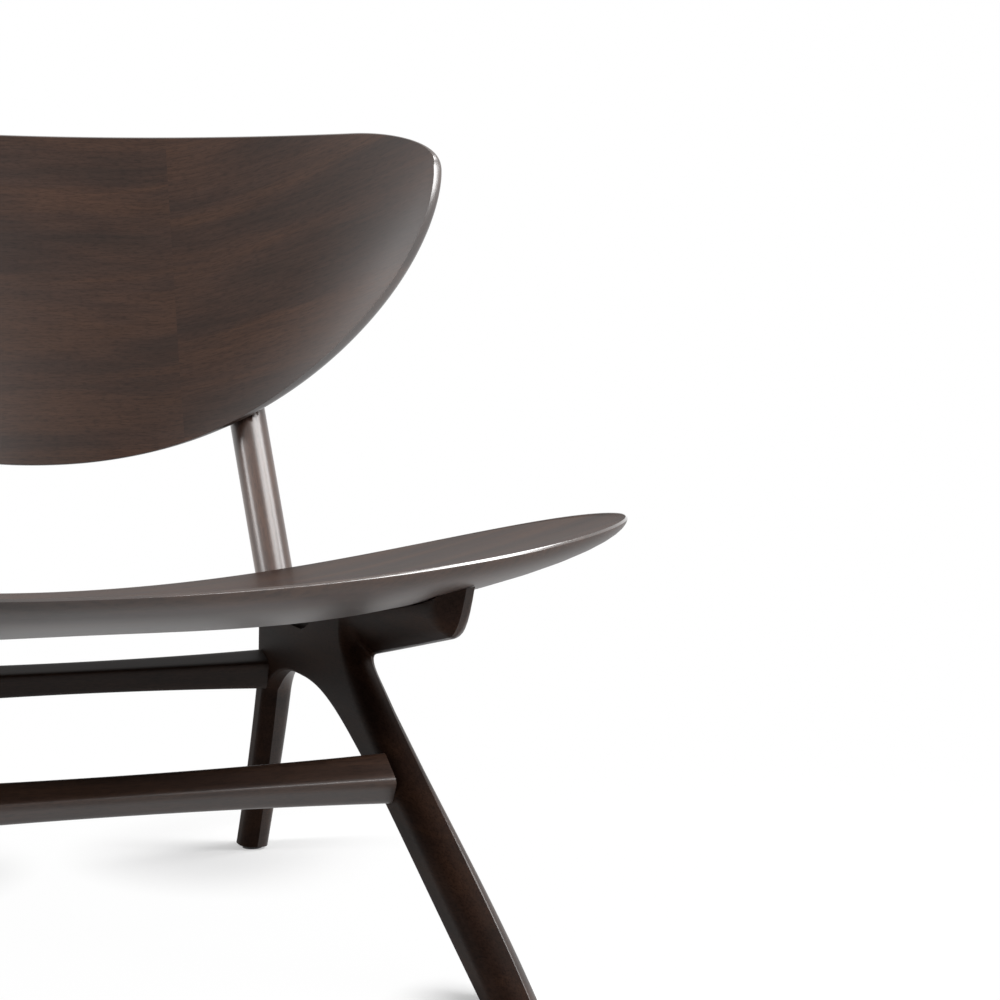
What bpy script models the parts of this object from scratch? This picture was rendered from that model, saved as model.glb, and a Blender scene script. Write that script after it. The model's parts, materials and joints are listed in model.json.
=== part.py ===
"""Lounge chair: a dished, winged seat and a half-moon back on two raked side frames.

Metres, +Z up. The chair faces -Y and is symmetric about X = 0. In this file
"forward" is the distance in front of a line near the rear feet, so that a point
is (across, forward, height) and lies at X = across, Y = -forward, Z = height.
"""

import math

import bmesh
import bpy
from mathutils import Matrix, Vector

# Seat shell
SEAT_HALF_WIDTH = 0.457
SEAT_CENTRE_FORWARD = 0.395
SEAT_FRONT_REACH = 0.235
SEAT_REAR_REACH = 0.300
SEAT_REAR_HEIGHT = 0.275
SEAT_FRONT_HEIGHT = 0.339
SEAT_WING_RISE = 0.053
SEAT_WING_TWIST = 0.050
SEAT_DISH = 0.016
SEAT_DEPTH = 0.031
SEAT_WING_DEPTH = 0.006
SEAT_FLAT_WIDTH = 0.230
SEAT_UNDER_POWER = 0.40
SEAT_AROUND = 56
SEAT_RINGS = 16

# Back shell
BACK_HALF_WIDTH = 0.382
BACK_BOTTOM_HEIGHT = 0.390
BACK_WIDEST_HEIGHT = 0.676
BACK_TOP_HEIGHT = 0.716
BACK_TOP_DIP = 0.005
BACK_CORNER_LENGTH = 0.082
BACK_CORNER_POWER = 2.4
BACK_LOWER_POWER = 1.76
BACK_HUB_HEIGHT = 0.590
BACK_FORWARD = 0.0575
BACK_LEAN = 0.354
BACK_WRAP_RADIUS = 0.550
BACK_THICKNESS = 0.018
BACK_RIM_POWER = 12.0
BACK_SEAT_MARGIN = 1.05
BACK_AROUND = 72
BACK_RINGS = 16

# Side frames: where they run and how thick they are
FRAME_REAR_INSIDE = 0.200
FRAME_REAR_FORWARD = 0.090
FRAME_SPREAD = 0.1185
SPLAY_HEIGHT = 0.200
REAR_FOOT_INSET = 0.006
REAR_INSET_POWER = 2.0
FRONT_FOOT_SPLAY = 0.030
FRONT_SPLAY_POWER = 1.5
RAIL_THICKNESS = 0.030
REAR_FOOT_THICKNESS = 0.027
FRONT_LEG_THICKNESS = 0.036
FRAME_CORNER_RADIUS = 0.006
TOP_CORNER_RADIUS = 0.002

# Side frames: outline as (forward, height)
FOOT_HEIGHT = 0.003
REAR_FOOT_BACK = 0.014
REAR_FOOT_FRONT = 0.045
REAR_LEG_RAKE = 0.33
REAR_JOINT_HEIGHT = 0.145
REAR_END_HEIGHT = 0.235
ARCH_CREST_FORWARD = 0.215
ARCH_CREST_HEIGHT = 0.2045
ARCH_REAR_HEIGHT = 0.168
ARCH_REAR_PULL = 0.030
ARCH_CREST_PULL = 0.075
FRONT_FOOT_BACK = 0.556
FRONT_FOOT_FRONT = 0.6065
FRONT_FOOT_TAPER = 0.010
FRONT_LEG_PULL = 0.228
FRONT_CREST_PULL = 0.104
FRONT_JOINT_FORWARD = 0.250
NOTCH_FORWARD = 0.408
NOTCH_OUTER_FORWARD = 0.318
NOTCH_HEIGHT = 0.273
BEAK_END_FORWARD = 0.571
BEAK_RAKE = 0.042
BEAK_END_SLANT = 0.020
BEAK_UNDER_SLOPE = 0.225
FRONT_INNER_BOW = 0.018
FRONT_OUTER_BOW = 0.028
SHOULDER_RAMP = 0.018

# Posts between the rails and the back
POST_DIAMETER = 0.0358
POST_FORWARD = 0.1225
POST_INSET = 0.004
POST_SHOULDER_HEIGHT = 0.250
POST_TOE_IN = 0.103
POST_TOP_HEIGHT = 0.600
POST_TENON_DIAMETER = 0.018
POST_TENON_LENGTH = 0.028
POST_SIDES = 20

# Stretchers
STRETCHER_POWER = 5.0
FRONT_STRETCHER_FORWARD = 0.430
FRONT_STRETCHER_HEIGHT = 0.154
FRONT_STRETCHER_END = 0.033
FRONT_STRETCHER_MIDDLE = 0.0255
FRONT_STRETCHER_TURN = math.radians(-28.0)
REAR_STRETCHER_FORWARD = 0.100
REAR_STRETCHER_HEIGHT = 0.193
REAR_STRETCHER_END = 0.031
REAR_STRETCHER_MIDDLE = 0.0245
REAR_STRETCHER_TURN = math.radians(-20.0)

# Joinery and hardware
JOINT_GAP = 0.0003
SEAT_BED_GAP = 0.0005
TENON_THICKNESS = 0.010
TENON_HALF_LENGTH = 0.018
FRONT_TENON_WIDTH = 0.030
FRONT_TENON_FORWARD = 0.296
REAR_TENON_WIDTH = 0.018
DOWEL_DIAMETER = 0.012
DOWEL_IN_STRETCHER = 0.028
DOWEL_IN_FRAME = 0.016
SCREW_DIAMETER = 0.005
SCREW_HEAD_DIAMETER = 0.010
SCREW_HEAD_LENGTH = 0.004
SCREW_TIP_SHARE = 0.4
SEAT_SCREW_BITE = 0.008
SEAT_SCREW_GRIP = 0.014
SEAT_SCREW_REAR_FORWARD = 0.225
SEAT_SCREW_FRONT_FORWARD = 0.475
BACK_SCREW_BITE = 0.010
BACK_SCREW_GRIP = 0.012
BACK_SCREW_LOW_HEIGHT = 0.475
BACK_SCREW_HIGH_HEIGHT = 0.555
PLUG_SETBACK = 0.0005
GLIDE_DIAMETER = 0.020

# Facets
OUTLINE_SAMPLES = 720
HALVINGS = 40
RIM_SPREAD = 0.9999
ROUND_SIDES = 16
CORNER_STEPS = 2
REAR_LEG_STEPS = 5
FRONT_LEG_STEPS = 12
ARCH_STEPS = 6
JOINT_STEPS = 4
BEAK_STEPS = 5
SHOULDER_STEPS = 5
POST_STEPS = 36
STRETCHER_STEPS = 16
STRETCHER_SIDES = 20

# Finish, as (red, green, blue), roughness and metallic
TIMBER = ((0.045, 0.024, 0.018), 0.32, 0.0)
TIMBER_HIDDEN = ((0.30, 0.17, 0.10), 0.65, 0.0)
STEEL = ((0.50, 0.48, 0.44), 0.35, 1.0)
GLIDE = ((0.03, 0.03, 0.03), 0.55, 0.0)


def smooth_step(value):
    """Eases from 0 to 1 as the value goes from 0 to 1."""
    value = min(1.0, max(0.0, value))
    return value * value * (3.0 - 2.0 * value)


def bezier(start, start_pull, end_pull, end, share):
    """A point on the cubic curve with these ends and handles."""
    rest = 1.0 - share
    weights = (rest ** 3, 3 * rest ** 2 * share, 3 * rest * share ** 2, share ** 3)
    points = (start, start_pull, end_pull, end)
    return tuple(sum(w * p[axis] for w, p in zip(weights, points)) for axis in (0, 1))


def along(start, end, share):
    """A point on the straight line between two (forward, height) points."""
    return tuple(a + (b - a) * share for a, b in zip(start, end))


def place(across, forward, height):
    return Vector((across, -forward, height))


# Seat surfaces

def seat_spread(across, forward):
    """0 at the middle of the seat's plan and 1 on its rim."""
    reach = SEAT_FRONT_REACH if forward > SEAT_CENTRE_FORWARD else SEAT_REAR_REACH
    return math.hypot(across / SEAT_HALF_WIDTH, (forward - SEAT_CENTRE_FORWARD) / reach)


def seat_level(across, forward):
    """Height of the saddle that the rim lies on."""
    slope = (SEAT_FRONT_HEIGHT - SEAT_REAR_HEIGHT) / (SEAT_FRONT_REACH + SEAT_REAR_REACH)
    from_rear = forward - SEAT_CENTRE_FORWARD + SEAT_REAR_REACH
    wing = (across / SEAT_HALF_WIDTH) ** 2
    twist = SEAT_WING_RISE - SEAT_WING_TWIST * (forward - SEAT_CENTRE_FORWARD)
    return SEAT_REAR_HEIGHT + slope * from_rear + wing * twist


def seat_top(across, forward):
    inside = max(0.0, 1.0 - seat_spread(across, forward) ** 2)
    return seat_level(across, forward) - SEAT_DISH * inside


def seat_under(across, forward):
    inside = max(0.0, 1.0 - seat_spread(across, forward) ** 2)
    depth = SEAT_DEPTH + SEAT_WING_DEPTH * smooth_step(abs(across) / SEAT_FLAT_WIDTH)
    return seat_level(across, forward) - depth * inside ** SEAT_UNDER_POWER


# Back surfaces

def back_edge_height(across, upper):
    """Height of the back's outline above or below its widest level."""
    share = min(1.0, abs(across) / BACK_HALF_WIDTH)
    if not upper:
        drop = (1.0 - share ** BACK_LOWER_POWER) ** (1.0 / BACK_LOWER_POWER)
        return BACK_WIDEST_HEIGHT - (BACK_WIDEST_HEIGHT - BACK_BOTTOM_HEIGHT) * drop
    flat = BACK_HALF_WIDTH - BACK_CORNER_LENGTH
    if abs(across) <= flat:
        return BACK_TOP_HEIGHT - BACK_TOP_DIP * (1.0 - (across / flat) ** 2)
    turn = min(1.0, (abs(across) - flat) / BACK_CORNER_LENGTH)
    rise = (1.0 - turn ** BACK_CORNER_POWER) ** (1.0 / BACK_CORNER_POWER)
    return BACK_WIDEST_HEIGHT + (BACK_TOP_HEIGHT - BACK_WIDEST_HEIGHT) * rise


def inside_back(across, height):
    if abs(across) >= BACK_HALF_WIDTH:
        return False
    return back_edge_height(across, False) < height < back_edge_height(across, True)


def back_reach(angle):
    """Distance from the hub to the outline, found by halving."""
    near = 0.0
    far = 2.0 * BACK_HALF_WIDTH
    for _ in range(HALVINGS):
        middle = 0.5 * (near + far)
        if inside_back(middle * math.cos(angle), BACK_HUB_HEIGHT + middle * math.sin(angle)):
            near = middle
        else:
            far = middle
    return near


def back_turns():
    """Angles round the hub whose outline points are evenly spread by length and by turn."""
    fine = [2.0 * math.pi * i / OUTLINE_SAMPLES for i in range(OUTLINE_SAMPLES + 1)]
    reaches = [back_reach(angle) for angle in fine]
    points = [(r * math.cos(a), r * math.sin(a)) for r, a in zip(reaches, fine)]
    steps = [(q[0] - p[0], q[1] - p[1]) for p, q in zip(points, points[1:])]
    total = sum(math.hypot(*step) for step in steps)
    costs = []
    for before, step in zip([steps[-1]] + steps, steps):
        cross = before[0] * step[1] - before[1] * step[0]
        dot = before[0] * step[0] + before[1] * step[1]
        costs.append(math.hypot(*step) / total + abs(math.atan2(cross, dot)) / (2.0 * math.pi))
    whole = sum(costs)
    turns = []
    spent = 0.0
    for angle, cost in zip(fine, costs):
        while len(turns) < BACK_AROUND and spent + cost > whole * len(turns) / BACK_AROUND:
            share = (whole * len(turns) / BACK_AROUND - spent) / cost
            turns.append(angle + share * fine[1])
        spent += cost
    return turns


def back_middle(across, height):
    """How far forward the middle of the shell's thickness lies."""
    lean = BACK_LEAN * (height - BACK_BOTTOM_HEIGHT)
    return BACK_FORWARD - lean + across ** 2 / (2.0 * BACK_WRAP_RADIUS)


def back_half_thickness(spread):
    """Half the shell, measured forward, with a rounded rim."""
    full = 0.5 * BACK_THICKNESS * math.hypot(1.0, BACK_LEAN)
    return full * math.sqrt(max(0.0, 1.0 - spread ** BACK_RIM_POWER))


def back_spread(across, height):
    """0 at the hub and 1 on the outline."""
    rise = height - BACK_HUB_HEIGHT
    return math.hypot(across, rise) / back_reach(math.atan2(rise, across))


def back_rear(across, height):
    """How far forward the rear face lies, carried a little past the rim, or None off the shell."""
    spread = back_spread(across, height) / BACK_SEAT_MARGIN
    if spread >= 1.0:
        return None
    return back_middle(across, height) - back_half_thickness(spread)


# Side frame surfaces

def front_share(forward):
    """0 at the rear leg and 1 at the front leg."""
    return smooth_step((forward - ARCH_CREST_FORWARD) / (NOTCH_FORWARD - ARCH_CREST_FORWARD))


def inner_face(forward, height):
    """How far from the middle plane a frame's inner face lies."""
    below = max(0.0, 1.0 - height / SPLAY_HEIGHT)
    front = front_share(forward)
    splay = FRONT_FOOT_SPLAY * below ** FRONT_SPLAY_POWER * front
    inset = REAR_FOOT_INSET * below ** REAR_INSET_POWER * (1.0 - front)
    return FRAME_REAR_INSIDE + FRAME_SPREAD * (forward - FRAME_REAR_FORWARD) + splay - inset


def frame_thickness(forward, height):
    low = smooth_step(1.0 - height / ARCH_CREST_HEIGHT)
    foot = REAR_FOOT_THICKNESS + (FRONT_LEG_THICKNESS - REAR_FOOT_THICKNESS) * front_share(forward)
    return RAIL_THICKNESS + (foot - RAIL_THICKNESS) * low


def frame_middle(forward, height):
    return inner_face(forward, height) + 0.5 * frame_thickness(forward, height)


def rear_leg_back(height):
    return REAR_FOOT_BACK + REAR_LEG_RAKE * height


def rear_leg_front(height):
    return REAR_FOOT_FRONT + REAR_LEG_RAKE * height


def arch_rear(share):
    """The arch from the rear leg's front edge up to the crest."""
    start = (rear_leg_front(ARCH_REAR_HEIGHT), ARCH_REAR_HEIGHT)
    pull = (start[0] + REAR_LEG_RAKE * ARCH_REAR_PULL, start[1] + ARCH_REAR_PULL)
    crest = (ARCH_CREST_FORWARD, ARCH_CREST_HEIGHT)
    return bezier(start, pull, (crest[0] - ARCH_CREST_PULL, crest[1]), crest, share)


def arch_front(share):
    """The arch from the crest down the front leg's rear edge to its foot."""
    crest = (ARCH_CREST_FORWARD, ARCH_CREST_HEIGHT)
    foot = (FRONT_FOOT_BACK, FOOT_HEIGHT)
    lift = FRONT_LEG_PULL / math.sqrt(2.0)
    crest_pull = (crest[0] + FRONT_CREST_PULL, crest[1])
    foot_pull = (foot[0] - lift, foot[1] + lift)
    return bezier(crest, crest_pull, foot_pull, foot, share)


def joint_share():
    """Where on the front arch the leg joint starts, found by halving."""
    near, far = 0.0, 1.0
    for _ in range(HALVINGS):
        middle = 0.5 * (near + far)
        if arch_front(middle)[0] < FRONT_JOINT_FORWARD:
            near = middle
        else:
            far = middle
    return near


JOINT_SHARE = joint_share()
JOINT_START = arch_front(JOINT_SHARE)
NOTCH_INNER = (NOTCH_FORWARD, NOTCH_HEIGHT)
JOINT_SLOPE = (NOTCH_HEIGHT - JOINT_START[1]) / (NOTCH_FORWARD - JOINT_START[0])
NOTCH_OUTER = (
    NOTCH_OUTER_FORWARD,
    JOINT_START[1] + JOINT_SLOPE * (NOTCH_OUTER_FORWARD - JOINT_START[0]),
)


BACK_TURNS = back_turns()
POST_FOOT_ACROSS = frame_middle(POST_FORWARD, POST_SHOULDER_HEIGHT) - POST_INSET
POST_CLEAR = POST_FORWARD + 0.5 * POST_DIAMETER * math.hypot(1.0, BACK_LEAN)
FRONT_STRETCHER = (
    FRONT_STRETCHER_FORWARD,
    FRONT_STRETCHER_HEIGHT,
    FRONT_STRETCHER_END,
    FRONT_STRETCHER_MIDDLE,
    FRONT_STRETCHER_TURN,
)
REAR_STRETCHER = (
    REAR_STRETCHER_FORWARD,
    REAR_STRETCHER_HEIGHT,
    REAR_STRETCHER_END,
    REAR_STRETCHER_MIDDLE,
    REAR_STRETCHER_TURN,
)


def rail_top(forward, across):
    """The rail's top: the post's shoulder at the rear, then the seat's underside."""
    if forward <= POST_CLEAR:
        out = across - POST_FOOT_ACROSS
        return POST_SHOULDER_HEIGHT + BACK_LEAN * (forward - POST_FORWARD) + POST_TOE_IN * out
    return seat_under(across, forward) - SEAT_BED_GAP


# Mesh helpers

def clear_scene():
    for obj in list(bpy.data.objects):
        bpy.data.objects.remove(obj, do_unlink=True)


def new_collection(name):
    collection = bpy.data.collections.new(name)
    bpy.context.scene.collection.children.link(collection)
    return collection


def material(name, finish):
    colour, roughness, metallic = finish
    made = bpy.data.materials.new(name)
    made.use_nodes = True
    shader = made.node_tree.nodes["Principled BSDF"]
    shader.inputs["Base Color"].default_value = (*colour, 1.0)
    shader.inputs["Roughness"].default_value = roughness
    shader.inputs["Metallic"].default_value = metallic
    return made


def add_object(name, mesh_data, collection, finish=None):
    """Turns a bmesh into a named object of a collection."""
    bmesh.ops.recalc_face_normals(mesh_data, faces=mesh_data.faces)
    mesh = bpy.data.meshes.new(name)
    mesh_data.to_mesh(mesh)
    mesh_data.free()
    obj = bpy.data.objects.new(name, mesh)
    collection.objects.link(obj)
    if finish is not None:
        mesh.materials.append(material(name, finish))
    return obj


def skin(rings):
    """A closed loft through rings of equally many points."""
    made = bmesh.new()
    rows = [[made.verts.new(point) for point in ring] for ring in rings]
    count = len(rows[0])
    for low, high in zip(rows, rows[1:]):
        for i in range(count):
            j = (i + 1) % count
            made.faces.new((low[i], low[j], high[j], high[i]))
    made.faces.new(rows[0][::-1])
    made.faces.new(rows[-1])
    bmesh.ops.triangulate(made, faces=[face for face in made.faces if len(face.verts) > 4])
    return made


def rod(start, end, diameter, sides=ROUND_SIDES):
    """A cylinder between two points."""
    axis = end - start
    turn = axis.to_track_quat("Z", "Y").to_matrix().to_4x4()
    made = bmesh.new()
    bmesh.ops.create_cone(
        made,
        cap_ends=True,
        segments=sides,
        radius1=0.5 * diameter,
        radius2=0.5 * diameter,
        depth=axis.length,
        matrix=Matrix.Translation(0.5 * (start + end)) @ turn,
    )
    return made


def slab(middle, axes, sizes):
    """A box at a point, along three unit axes."""
    turn = Matrix(axes).transposed().to_4x4()
    scale = Matrix.Diagonal((*sizes, 1.0))
    made = bmesh.new()
    bmesh.ops.create_cube(made, size=1.0, matrix=Matrix.Translation(middle) @ turn @ scale)
    return made


def cut(target, cutter):
    cutter.hide_render = True
    cutter.display_type = "WIRE"
    made = target.modifiers.new(cutter.name, "BOOLEAN")
    made.operation = "DIFFERENCE"
    made.solver = "EXACT"
    made.object = cutter


def mirrored(point, side):
    return Vector((side * point.x, point.y, point.z))


# Shells

def mapped_sphere(around, rings, point_of):
    """A closed shell: each point of a unit sphere is sent to a place by the function."""
    made = bmesh.new()
    bmesh.ops.create_uvsphere(made, u_segments=around, v_segments=rings, radius=1.0)
    for vert in made.verts:
        vert.co = point_of(*vert.co)
    return made


def seat_point(x, y, z):
    spread = math.hypot(x, y)
    reach = SEAT_FRONT_REACH if y > 0.0 else SEAT_REAR_REACH
    across = x * SEAT_HALF_WIDTH
    forward = SEAT_CENTRE_FORWARD + y * reach
    if spread > RIM_SPREAD:
        return place(across, forward, seat_level(across, forward))
    height = seat_top(across, forward) if z > 0.0 else seat_under(across, forward)
    return place(across, forward, height)


def back_point(x, y, z):
    spread = math.hypot(x, y)
    index = round(math.atan2(y, x) * BACK_AROUND / (2.0 * math.pi)) % BACK_AROUND
    angle = BACK_TURNS[index]
    reach = spread * back_reach(angle)
    across = reach * math.cos(angle)
    height = BACK_HUB_HEIGHT + reach * math.sin(angle)
    side = 0.0 if spread > RIM_SPREAD else math.copysign(1.0, z)
    return place(across, back_middle(across, height) + side * back_half_thickness(spread), height)


# Frame pieces: each is a loft through ribs

def rib_ring(side, inner, outer, start_round, end_round):
    """A rounded rectangle across a frame. A rib has a start and an end on both faces."""
    start = along(inner[0], outer[0], 0.5)
    end = along(inner[1], outer[1], 0.5)
    length = math.dist(start, end)
    thickness = frame_thickness(*along(start, end, 0.5))
    corners = (
        (start_round, start_round, start_round, 180.0),
        (length - end_round, end_round, end_round, 270.0),
        (length - end_round, thickness - end_round, end_round, 0.0),
        (start_round, thickness - start_round, start_round, 90.0),
    )
    ring = []
    for run, depth, radius, first_turn in corners:
        for step in range(CORNER_STEPS + 1):
            turn = math.radians(first_turn + 90.0 * step / CORNER_STEPS)
            share = (run + radius * math.cos(turn)) / length
            through = (depth + radius * math.sin(turn)) / thickness
            forward, height = along(along(*inner, share), along(*outer, share), through)
            across = inner_face(forward, height) + through * frame_thickness(forward, height)
            ring.append(mirrored(place(across, forward, height), side))
    return ring


def rear_leg_rings(side):
    top = REAR_JOINT_HEIGHT - JOINT_GAP
    rings = []
    for step in range(REAR_LEG_STEPS + 1):
        height = FOOT_HEIGHT + (top - FOOT_HEIGHT) * step / REAR_LEG_STEPS
        rib = ((rear_leg_back(height), height), (rear_leg_front(height), height))
        rings.append(rib_ring(side, rib, rib, FRAME_CORNER_RADIUS, FRAME_CORNER_RADIUS))
    return rings


def front_leg_rib(share):
    """Ends of a front leg rib on the inner and on the outer face, 0 at the foot and 1 at the joint."""
    rear = arch_front(1.0 - share * (1.0 - JOINT_SHARE))
    bow = 4.0 * share * (1.0 - share)
    inner = along((FRONT_FOOT_FRONT, FOOT_HEIGHT), NOTCH_INNER, share)
    outer = along((FRONT_FOOT_FRONT - FRONT_FOOT_TAPER, FOOT_HEIGHT), NOTCH_OUTER, share)
    inner = (inner[0] - FRONT_INNER_BOW * bow, inner[1])
    outer = (outer[0] + FRONT_OUTER_BOW * bow, outer[1])
    drop = JOINT_GAP * share
    return tuple(tuple((f, h - drop) for f, h in pair) for pair in ((rear, inner), (rear, outer)))


def front_leg_rings(side):
    rings = []
    for step in range(FRONT_LEG_STEPS + 1):
        inner, outer = front_leg_rib(step / FRONT_LEG_STEPS)
        rings.append(rib_ring(side, inner, outer, FRAME_CORNER_RADIUS, FRAME_CORNER_RADIUS))
    return rings


def rail_bottoms():
    """Lower ends of the rail's ribs on the inner and the outer face, from the rear leg to the beak."""
    back = (rear_leg_back(REAR_JOINT_HEIGHT), REAR_JOINT_HEIGHT)
    front = (rear_leg_front(REAR_JOINT_HEIGHT), REAR_JOINT_HEIGHT)
    same = [back, along(back, front, 0.5), front]
    same += [arch_rear(step / ARCH_STEPS) for step in range(ARCH_STEPS + 1)]
    same += [arch_front(0.5 * JOINT_SHARE), JOINT_START]
    pairs = [(point, point) for point in same]
    for step in range(1, JOINT_STEPS + 1):
        share = step / JOINT_STEPS
        pairs.append((along(JOINT_START, NOTCH_INNER, share), along(JOINT_START, NOTCH_OUTER, share)))
    end_inner = BEAK_END_FORWARD - BEAK_RAKE
    end_outer = end_inner - BEAK_END_SLANT
    for step in range(1, BEAK_STEPS + 1):
        share = step / BEAK_STEPS
        inner = NOTCH_FORWARD + (end_inner - NOTCH_FORWARD) * share
        outer = NOTCH_OUTER_FORWARD + (end_outer - NOTCH_OUTER_FORWARD) * share
        pairs.append((
            (inner, NOTCH_HEIGHT + BEAK_UNDER_SLOPE * (inner - NOTCH_FORWARD)),
            (outer, NOTCH_OUTER[1] + BEAK_UNDER_SLOPE * (outer - NOTCH_OUTER_FORWARD)),
        ))
    return pairs


def rail_top_forwards(count):
    """Upper ends of as many ribs: some on the post's shoulder, the rest under the seat."""
    rear = rear_leg_back(REAR_END_HEIGHT)
    tops = [rear + (POST_CLEAR - rear) * step / SHOULDER_STEPS for step in range(SHOULDER_STEPS + 1)]
    left = count - len(tops)
    first = POST_CLEAR + SHOULDER_RAMP
    tops += [first + (BEAK_END_FORWARD - first) * step / (left - 1) for step in range(left)]
    return tops


def rail_rings(side):
    rings = []
    bottoms = rail_bottoms()
    for (low_in, low_out), top in zip(bottoms, rail_top_forwards(len(bottoms))):
        slanted = top - BEAK_END_SLANT * front_share(top)
        top_in = (top, rail_top(top, inner_face(top, POST_SHOULDER_HEIGHT)))
        outer = inner_face(slanted, POST_SHOULDER_HEIGHT) + RAIL_THICKNESS
        top_out = (slanted, rail_top(slanted, outer))
        ring = rib_ring(side, (low_in, top_in), (low_out, top_out), FRAME_CORNER_RADIUS, TOP_CORNER_RADIUS)
        rings.append(ring)
    return rings


# Posts

def post_axis(height):
    """Middle of the post at a height, as (across, forward, height)."""
    rise = height - POST_SHOULDER_HEIGHT
    across = POST_FOOT_ACROSS - POST_TOE_IN * rise
    return Vector((across, POST_FORWARD - BACK_LEAN * rise, height))


def post_rings(side):
    """A turned post with a tenon below, its top flattened against the back."""
    foot = post_axis(POST_SHOULDER_HEIGHT)
    axis = (post_axis(POST_TOP_HEIGHT) - foot).normalized()
    length = (post_axis(POST_TOP_HEIGHT) - foot).length
    left = axis.cross(Vector((0.0, 1.0, 0.0))).normalized()
    ahead = left.cross(axis)
    tenon = 0.5 * POST_TENON_DIAMETER
    stations = [(JOINT_GAP - POST_TENON_LENGTH, tenon), (JOINT_GAP, tenon)]
    for i in range(POST_STEPS + 1):
        stations.append((JOINT_GAP + (length - JOINT_GAP) * i / POST_STEPS, 0.5 * POST_DIAMETER))
    rings = []
    for run, radius in stations:
        ring = []
        for i in range(POST_SIDES):
            turn = 2.0 * math.pi * i / POST_SIDES
            out = left * math.cos(turn) + ahead * math.sin(turn)
            across, forward, height = foot + axis * run + radius * out
            limit = back_rear(across, height)
            if limit is not None:
                forward = min(forward, limit - JOINT_GAP)
            ring.append(mirrored(place(across, forward, height), side))
        rings.append(ring)
    return rings


# Stretchers

def stretcher_rings(forward, height, end, middle, turn):
    """A bar of rounded square section, slimmer in the middle, between the frames' inner faces."""
    rings = []
    for step in range(STRETCHER_STEPS + 1):
        share = 2.0 * step / STRETCHER_STEPS - 1.0
        side = middle + (end - middle) * share * share
        ring = []
        for i in range(STRETCHER_SIDES):
            angle = 2.0 * math.pi * (i + 0.5) / STRETCHER_SIDES
            powers = [abs(part) ** STRETCHER_POWER for part in (math.cos(angle), math.sin(angle))]
            reach = 0.5 * side / sum(powers) ** (1.0 / STRETCHER_POWER)
            f = forward + reach * math.cos(angle + turn)
            h = height + reach * math.sin(angle + turn)
            ring.append(place(share * (inner_face(f, h) - JOINT_GAP), f, h))
        rings.append(ring)
    return rings


# Joinery and hardware

def unit(forward, height):
    """A unit vector in a frame's side view."""
    return place(0.0, forward, height).normalized()


def grown(mesh_maker, *args):
    """The same shape with the joint's gap all round, to cut its pocket."""
    return mesh_maker(*args, grow=JOINT_GAP)


def tenon_slab(side, middle, along_joint, width, grow=0.0):
    """A loose tenon across a leg joint, at a (forward, height) point."""
    centre = mirrored(place(frame_middle(*middle), *middle), side)
    run = unit(*along_joint)
    across = Vector((1.0, 0.0, 0.0))
    sizes = (TENON_THICKNESS + 2 * grow, width + 2 * grow, 2 * (TENON_HALF_LENGTH + grow))
    return slab(centre, (across, run, across.cross(run)), sizes)


def add_leg_tenons(word, side, part, pocket):
    joint = (NOTCH_FORWARD - JOINT_START[0], NOTCH_HEIGHT - JOINT_START[1])
    front = (FRONT_TENON_FORWARD, JOINT_START[1] + JOINT_SLOPE * (FRONT_TENON_FORWARD - JOINT_START[0]))
    rear_forward = 0.5 * (rear_leg_back(REAR_JOINT_HEIGHT) + rear_leg_front(REAR_JOINT_HEIGHT))
    rear = (rear_forward, REAR_JOINT_HEIGHT)
    for leg, middle, run, width in (
        ("front", front, joint, FRONT_TENON_WIDTH),
        ("rear", rear, (1.0, -REAR_LEG_RAKE), REAR_TENON_WIDTH),
    ):
        name = f"{word}_{leg}_leg_tenon"
        part(name, tenon_slab(side, middle, run, width), TIMBER_HIDDEN)
        pocket(
            f"{name}_pocket",
            grown(tenon_slab, side, middle, run, width),
            f"{word}_{leg}_leg",
            f"{word}_seat_rail",
        )


def dowel_rod(side, forward, height, grow=0.0):
    face = inner_face(forward, height)
    start = mirrored(place(face - DOWEL_IN_STRETCHER - grow, forward, height), side)
    end = mirrored(place(face + DOWEL_IN_FRAME + grow, forward, height), side)
    return rod(start, end, DOWEL_DIAMETER + 2 * grow)


def add_stretcher_dowels(word, side, part, pocket):
    for bar, where, frame in (
        ("front", FRONT_STRETCHER, f"{word}_front_leg"),
        ("rear", REAR_STRETCHER, f"{word}_seat_rail"),
    ):
        name = f"{word}_{bar}_stretcher_dowel"
        part(name, dowel_rod(side, *where[:2]), TIMBER_HIDDEN)
        pocket(f"{name}_hole", grown(dowel_rod, side, *where[:2]), f"{bar}_stretcher", frame)


def add_post_socket(word, side, pocket):
    foot = post_axis(POST_SHOULDER_HEIGHT)
    axis = (post_axis(POST_TOP_HEIGHT) - foot).normalized()
    deep = foot - axis * (POST_TENON_LENGTH + JOINT_GAP)
    ends = [mirrored(place(*point), side) for point in (deep, foot + axis * POST_TENON_LENGTH)]
    bore = rod(*ends, POST_TENON_DIAMETER + 2 * JOINT_GAP, POST_SIDES)
    pocket(f"{word}_post_socket", bore, f"{word}_seat_rail")


def screw_mesh(seat, direction, grip, bite, head_length, grow=0.0):
    """A screw whose head rests at a point, as turned rings along its direction."""
    head = 0.5 * SCREW_HEAD_DIAMETER + grow
    shank = 0.5 * SCREW_DIAMETER + grow
    tip = grip + bite + grow
    profile = (
        (-head_length, head),
        (0.0, head),
        (0.0, shank),
        (tip - SCREW_DIAMETER, shank),
        (tip, SCREW_TIP_SHARE * shank),
    )
    left = direction.orthogonal().normalized()
    ahead = direction.cross(left)
    turns = [2.0 * math.pi * i / ROUND_SIDES for i in range(ROUND_SIDES)]
    return skin([
        [seat + direction * run + radius * (left * math.cos(t) + ahead * math.sin(t)) for t in turns]
        for run, radius in profile
    ])


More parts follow.
